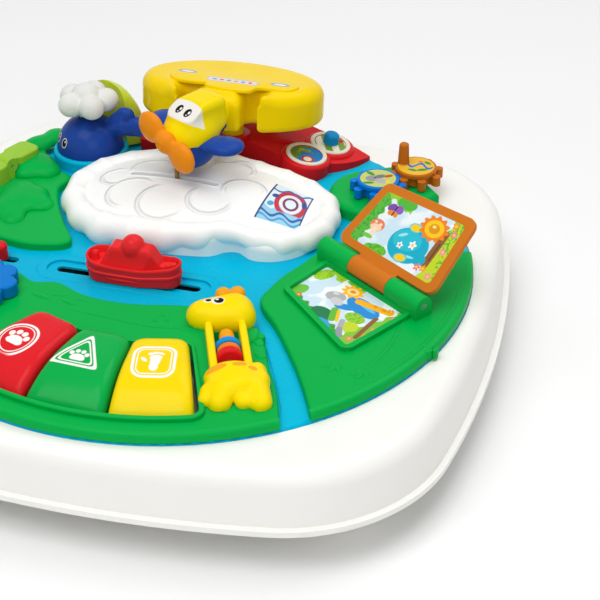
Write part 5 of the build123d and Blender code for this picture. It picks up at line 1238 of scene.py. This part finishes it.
for name, place, bearing, light, deep in KEYS:
    shell = placed(swell((KEY_MIDDLE, 0, 74), key_field, reach=46, rings=64, sides=160), (0, 0, 0), aimed_at(bearing))
    finish = key_paint(name, place, bearing, light, deep)
    build(f"key_{name}_shell", *shell, finish, f"key_{name}_body", [f"key_{name}"])

# Gear pair: a blue gear and a brown gear with a peg handle, meshing on posts
# of the green mound. Each carries a printed round cap.
BLUE_GEAR = (115.0, 112.0)
GEAR_BLUE = (8, 132, 226)
GEAR_BLUE_DEEP = (0, 112, 206)
BROWN_GEAR = (138.15, 137.71)
GEAR_BROWN = (204, 116, 32)
GEAR_BROWN_DEEP = (184, 96, 24)
GEAR_CAP_Z = 89.4
CAP_GREEN = (60, 150, 60)
CAP_TUFT = (50, 150, 60)
PEBBLES = [
    (0, 0, 13, 13, 0, (214, 214, 40)), (0, 0, 11.8, 11.8, 0, (196, 205, 120)),
    (-3.5, -1, 5.6, 4.4, 20, (150, 152, 150)), (2.8, -3.6, 4.4, 3.4, -10, (178, 180, 176)),
    (1.2, 3.4, 3.8, 2.6, 30, (120, 122, 124)), (6.8, 5.2, 3.4, 2, 40, (190, 90, 30)),
    (-7, 6, 4, 1.8, -35, CAP_GREEN), (-5.4, -8.4, 4.2, 1.7, 15, CAP_GREEN),
    (8, -3.4, 1.7, 1.7, 0, (250, 214, 30)), (-2.2, 0.2, 0.9, 0.9, 0, (40, 40, 42)),
]
TUFTS = [
    (5.5, -4.6, 4.2, 1.7, 25, CAP_TUFT), (-1.5, -6.6, 3.6, 1.6, -10, CAP_TUFT),
    (7.4, 6.8, 3.2, 1.6, -35, CAP_TUFT), (2, 7.6, 1.8, 1.4, 0, (240, 120, 30)),
]


def blue_gear_paint():
    """Blue with a yellow-green printed cap: pebbles, leaves and a sun."""
    paint = Print("gear blue")
    paint.lay_out((*BLUE_GEAR, GEAR_CAP_Z))
    layers = paint.dots(PEBBLES, paint.above_level(GEAR_CAP_Z - 0.5))
    return paint.plastic(GEAR_BLUE, GEAR_BLUE_DEEP, gloss=0.2, layers=layers)


def brown_gear_paint():
    """Brown with a yellow printed cap: a winding stream between green tufts. The peg stays plain."""
    paint = Print("gear brown")
    paint.lay_out((*BROWN_GEAR, GEAR_CAP_Z))
    height = paint.along((0, 0, 1))
    cap = height.above(GEAR_CAP_Z - 0.5, 0.3) * height.below(GEAR_CAP_Z + 0.6, 0.3)
    stream = abs(paint.v - 1.5 - (paint.u * 0.5).sine() * 3.2).below(1.6)
    face = paint.blob((0, 0), 12.6) * cap
    layers = [
        (paint.blob((0, 0), 13.6) * cap, (244, 196, 24)),
        (face, (236, 186, 60)),
        (face * stream, (20, 120, 205)),
        *paint.dots(TUFTS, face),
    ]
    return paint.plastic(GEAR_BROWN, GEAR_BROWN_DEEP, gloss=0.22, layers=layers)


dress(blue_gear_paint(), "blue_gear")
dress(brown_gear_paint(), "brown_gear")

# Picture book: a brown page on a pin between green knuckles, with a printed
# garden picture let into it and a second one, with a raised border, in the
# land below.
BOOK = np.array((98.0, 22.0, 82.0))
BOOK_X = np.array((0.8151, -0.5793, 0.0))
BOOK_Y = np.array((0.5793, 0.8151, 0.0))
PAGE_OPEN = math.radians(139.0)
PAGE_BROWN = (216, 122, 36)
SKY = (206, 230, 244)
LEAF = (92, 184, 62)
GRASS = (196, 214, 40)
BUSH = (110, 190, 60)
BARK = (142, 92, 48)
POND = (20, 172, 200)
STREAM = (24, 140, 214)
LILY_RIM = (70, 205, 215)
LILY_BOWL = (252, 204, 28)
WHITE = (250, 250, 250)
ROSE = (242, 122, 140)
PINK = (246, 140, 160)
ORANGE = (246, 150, 40)
WING_ORANGE = (236, 140, 30)
FRUIT = (240, 140, 24)
PALE_SPOT = (250, 226, 200)
# x, y, petal colour
UPPER_FLOWERS = [
    (76.6, 19.6, (242, 112, 130)), (81.5, 20.8, ORANGE), (88.4, 18, PINK), (87, 36.5, PINK),
    (86.6, 50, (240, 120, 150)), (84, 55.6, ORANGE),
]
LOWER_FLOWERS = [
    (88, -16.6, ROSE), (89.6, -34.6, (246, 150, 120)), (86.4, -53, (242, 122, 120)), (90.4, -43, ORANGE),
    (26.5, -45, (230, 92, 60)), (81, -12, ORANGE),
]
BORDER_CORNERS = np.array([(9.5, -5.0), (15.8, -49.4), (96.6, -65.2), (93.2, -5.4)])
BORDER_R = 0.75


def flowers(paint, size, rows, heart=(252, 210, 60)):
    """Layers of flowers, each row a place and a petal colour: five petals round a heart."""
    for x, y, petal in rows:
        yield paint.petals((x, y), size * 1.1, 5), petal
        yield paint.blob((x, y), size * 0.36), heart


def upper_picture(paint):
    """Garden with a round pond, two water lilies, a sunflower, a butterfly, a mushroom and a log."""
    u, v = paint.u, paint.v
    yield paint.noise(60).ramp(0.45, 0.6), (238, 246, 250)
    speckle = paint.noise(500, 1).ramp(0.5, 0.62)
    bank = (u + (v * 0.55).sine() * 1.4).above(81.5, 0.5)
    shrub = (u - v * 0.12 + (v * 0.9).sine() * 1.2).below(21.5, 0.5)
    canopy = (v + (u * 0.8).sine() + (u - 20) * 0.22).above(53.0, 0.5) * u.below(47.0)
    tuft = paint.blob((40.5, 15.5), (8.5, 4.2), 8).high(paint.blob((34.5, 14.5), (5.0, 3.0)))
    yield bank, GRASS
    yield bank * speckle * (u + v * 0.35).above(98.0), LEAF
    yield shrub, LEAF
    yield shrub * speckle, (60, 160, 52)
    yield canopy, (150, 205, 46)
    yield from paint.dots([(40, 52.8, 8.5, 4.4, 6, (84, 182, 60))])
    yield tuft, (110, 196, 50)
    yield tuft * speckle, (76, 170, 46)
    yield from paint.lines([(80.5, 24, 81, 47, 3, BARK), (81.5, 27, 81.6, 40, 0.6, (104, 64, 34))])
    yield from paint.dots([
        (60.5, 28.8, 16.4, 12.8, 8, POND), (74, 24.6, 5.5, 4.6, 0, POND), (57.5, 31.6, 11.8, 7.6, 8, (44, 190, 212)),
        (52, 33.6, 3.6, 1.1, 35, (160, 230, 238)), (66, 22.4, 4.2, 0.9, 12, (150, 226, 236)),
        (57.6, 41.6, 5.4, 3.4, 6, LILY_RIM), (57.6, 41.6, 4.4, 2.5, 6, LILY_BOWL),
        (60.6, 19.2, 5.4, 3.4, 14, LILY_RIM), (60.6, 19.2, 4.4, 2.5, 14, LILY_BOWL),
    ])
    yield from flowers(paint, 3.0, [(63.5, 30.5, WHITE)], (250, 190, 60))
    yield from flowers(paint, 2.4, [(54.5, 26.5, WHITE)], (236, 110, 120))
    yield paint.petals((70.5, 47.2), (12.4, 9.6), 12, 0.1), (242, 130, 30)
    yield from paint.dots([
        (70.5, 47.2, 7.8, 6.3, 0, (250, 200, 30)), (70.5, 47.2, 4.4, 3.5, 0, (226, 150, 24)),
        (69.6, 48.4, 1.6, 1.1, 0, (252, 226, 120)), (31, 46, 3.8, 2.8, 30, (128, 74, 170)),
        (37.2, 46.6, 3.6, 3, -25, (146, 92, 190)), (32, 42.2, 2.4, 1.9, 20, WING_ORANGE),
        (36.4, 42.4, 2.2, 1.8, -20, WING_ORANGE),
    ])
    yield from paint.lines([(34.2, 41, 34.4, 48, 0.6, (70, 40, 60))])
    yield from paint.dots([(29, 30.4, 6.2, 4.6, 6, (236, 128, 92)), (29, 28.6, 5, 2.6, 6, (250, 212, 176))])
    yield from paint.lines([(29.2, 22, 29, 27, 2, (250, 222, 196))])
    yield from paint.dots([
        (26.6, 32.2, 1.2, 0.9, 0, PALE_SPOT), (31.4, 31.8, 1.4, 1, 0, PALE_SPOT), (27, 21, 4.4, 1.5, 0, (120, 200, 60)),
    ])
    yield from flowers(paint, 2.6, UPPER_FLOWERS)


def lower_picture(paint):
    """Garden with clouds, grey stones, a tall flower, a stream, a round bush and a log."""
    u, v = paint.u, paint.v
    yield paint.noise(70, 1).ramp(0.48, 0.54), (242, 248, 250)
    speckle = paint.noise(500, 1).ramp(0.5, 0.62)
    verge = (u - v * 0.12 + (v * 0.6).sine() * 1.2).above(87.0, 0.5)
    thicket = (v + (u * 0.8).sine() * 1.2 + (u - 20) * 0.14).below(-44.0, 0.5)
    treetop = (v + u * 0.42 + (u * 0.7).sine()).above(-1.0, 0.5).high(paint.blob((19.0, -16.0), (5.5, 8.0), -10))
    canopy = treetop * u.below(34.0)
    yield canopy, (168, 210, 44)
    yield canopy * speckle, (126, 190, 50)
    yield from paint.dots([(44, -9, 9, 2.2, 0, BUSH)])
    yield thicket, (72, 168, 56)
    yield thicket * speckle, (40, 140, 50)
    yield from paint.dots([
        (22, -40, 5, 6.5, 0, BUSH), (66, -23, 15, 7.5, -6, STREAM), (58, -31, 8, 3.4, 30, STREAM),
        (66, -20.6, 10, 2, -6, (90, 190, 236)), (53, -47, 9, 6, 0, (12, 122, 70)),
        (61.5, -54, 7, 3.6, -6, (60, 160, 225)), (44, -27.5, 7.4, 5.4, 20, (176, 178, 180)),
        (49, -31, 5.4, 3.6, -10, (204, 204, 206)), (41.5, -25, 2.4, 1.5, 20, (214, 216, 218)),
    ])
    hedge = paint.blob((71.5, -35.0), (7.6, 5.6))
    yield hedge, (150, 204, 44)
    yield hedge * speckle, (112, 182, 40)
    yield from paint.dots([(79, -44.6, 8.4, 5.6, -20, GRASS)])
    yield verge, (130, 196, 50)
    yield from paint.lines([
        (80.8, -25, 88, -49, 1.7, BARK), (68.5, -43, 74, -50.5, 1.9, (170, 174, 180)),
        (74, -50.5, 80, -56, 2.1, (150, 154, 162)), (55.5, -38, 62.5, -47, 2.5, (96, 186, 52)),
        (58.5, -37.2, 66, -46, 1.2, (250, 196, 24)), (59, -20, 82, -14, 2.9, (248, 180, 22)),
    ])
    yield from paint.dots([(70, -15.6, 1.6, 1.1, 0, FRUIT), (77, -14.6, 1.8, 1.2, 0, FRUIT)])
    yield paint.petals((47.5, -15.4), (9.2, 7.2), 9, 0.14), (250, 190, 24)
    yield from paint.dots([(47.5, -15.4, 4.6, 3.6, 0, (252, 226, 150)), (47.5, -15.4, 2.2, 1.7, 0, WING_ORANGE)])
    yield from flowers(paint, 2.5, LOWER_FLOWERS)


def card(name, design, origin, y_dir):
    """Glossy card printed with a design over a sky."""
    paint = Print(name)
    paint.lay_out(origin, BOOK_X, y_dir)
    picture = paint.print_on(ink(*SKY), design(paint))
    return paint.surface(picture, 0.3, paint.noise(500), depth=0.00003, strength=0.2, Specular_IOR_Level=0.2)


page_up = np.array((0, 0, math.sin(PAGE_OPEN))) - BOOK_Y * math.cos(PAGE_OPEN)
moulded("page brown", PAGE_BROWN, "book_page", depth=0.92, gloss=0.3)
dress(card("upper picture", upper_picture, BOOK, page_up), "page_cards")
dress(card("lower picture", lower_picture, (*BOOK[:2], LAND_TOP), BOOK_Y), "picture_card")
share = np.linspace(0.07, 0.93, 24)[:, None]
border = [start + (end - start) * share for start, end in zip(BORDER_CORNERS, np.roll(BORDER_CORNERS, -1, 0))]
border_path = (*BOOK[:2], LAND_TOP - 0.2) + np.concatenate(border) @ np.stack([BOOK_X, BOOK_Y])
build("picture_border", *rod(border_path, BORDER_R, sides=8, closed=True), land_green)

# Studio: a pale plain floor, a white surround and three soft lamps. None of
# it belongs to the table.
FLOOR_HALF = 6.0
FLOOR_GREYS = [(0.93, 0.93, 0.93, 1), (0.95, 0.95, 0.95, 1)]
CAMERA_AT = (0.30935, -0.82118, 0.61118)
CAMERA_TO = (0.0779, 0.0307, 0.028)
CAMERA_LENS = 88.7
LAMPS_TO = (0, 0, 0.06)
# name, watts, place, size
LAMPS = [
    ("key lamp", 34.0, (-0.35, -0.85, 2.3), 1.8),
    ("fill lamp", 9.0, (1.0, -1.8, 1.3), 1.4),
    ("back lamp", 14.0, (0.5, 0.9, 2.0), 1.4),
]
UNSEEN_GLOW = 0.3


def studio_piece(name, data):
    """Adds an object of the studio to the scene."""
    thing = bpy.data.objects.new(name, data)
    bpy.context.scene.collection.objects.link(thing)
    return thing


def aimed(thing, at, to):
    """Puts a lamp or the camera at a place and turns it to look at another."""
    thing.location = at
    thing.rotation_euler = (Vector(to) - Vector(at)).to_track_quat("-Z", "Y").to_euler()


class Surround(Paint):
    """Node tree of the world."""

    def __init__(self, tree):
        self.tree = tree
        tree.nodes.clear()


camera = studio_piece("camera", bpy.data.cameras.new("camera"))
camera.data.lens = CAMERA_LENS
camera.data.sensor_width = 36
camera.data.clip_end = 50
aimed(camera, CAMERA_AT, CAMERA_TO)
bpy.context.scene.camera = camera

for name, watts, at, size in LAMPS:
    lamp = studio_piece(name, bpy.data.lights.new(name, "AREA"))
    lamp.data.energy = watts
    lamp.data.size = size
    aimed(lamp, at, LAMPS_TO)

world = bpy.data.worlds.new("surround")
world.use_nodes = True
bpy.context.scene.world = world
surround = Surround(world.node_tree)
kinds = ("Is Camera Ray", "Is Glossy Ray", "Is Transmission Ray")
seen = highest(*(surround.node("ShaderNodeLightPath", output=kind) for kind in kinds))
strength = seen * (1 - UNSEEN_GLOW) + UNSEEN_GLOW
glow = surround.node("ShaderNodeBackground", {}, {"Color": (1, 1, 1, 1), "Strength": strength})
surround.node("ShaderNodeOutputWorld", {}, {"Surface": glow})
bpy.context.scene.view_settings.view_transform = "Standard"

floor_mesh = bpy.data.meshes.new("floor")
floor_edge = np.array([(-1, -1, 0), (1, -1, 0), (1, 1, 0), (-1, 1, 0)]) * FLOOR_HALF
floor_mesh.from_pydata(floor_edge.tolist(), [], [(0, 1, 2, 3)])
floor = studio_piece("floor", floor_mesh)
floor_paint = Paint("studio floor")
floor_mesh.materials.append(floor_paint.surface(floor_paint.mix(floor_paint.noise(2), *FLOOR_GREYS), 0.9))
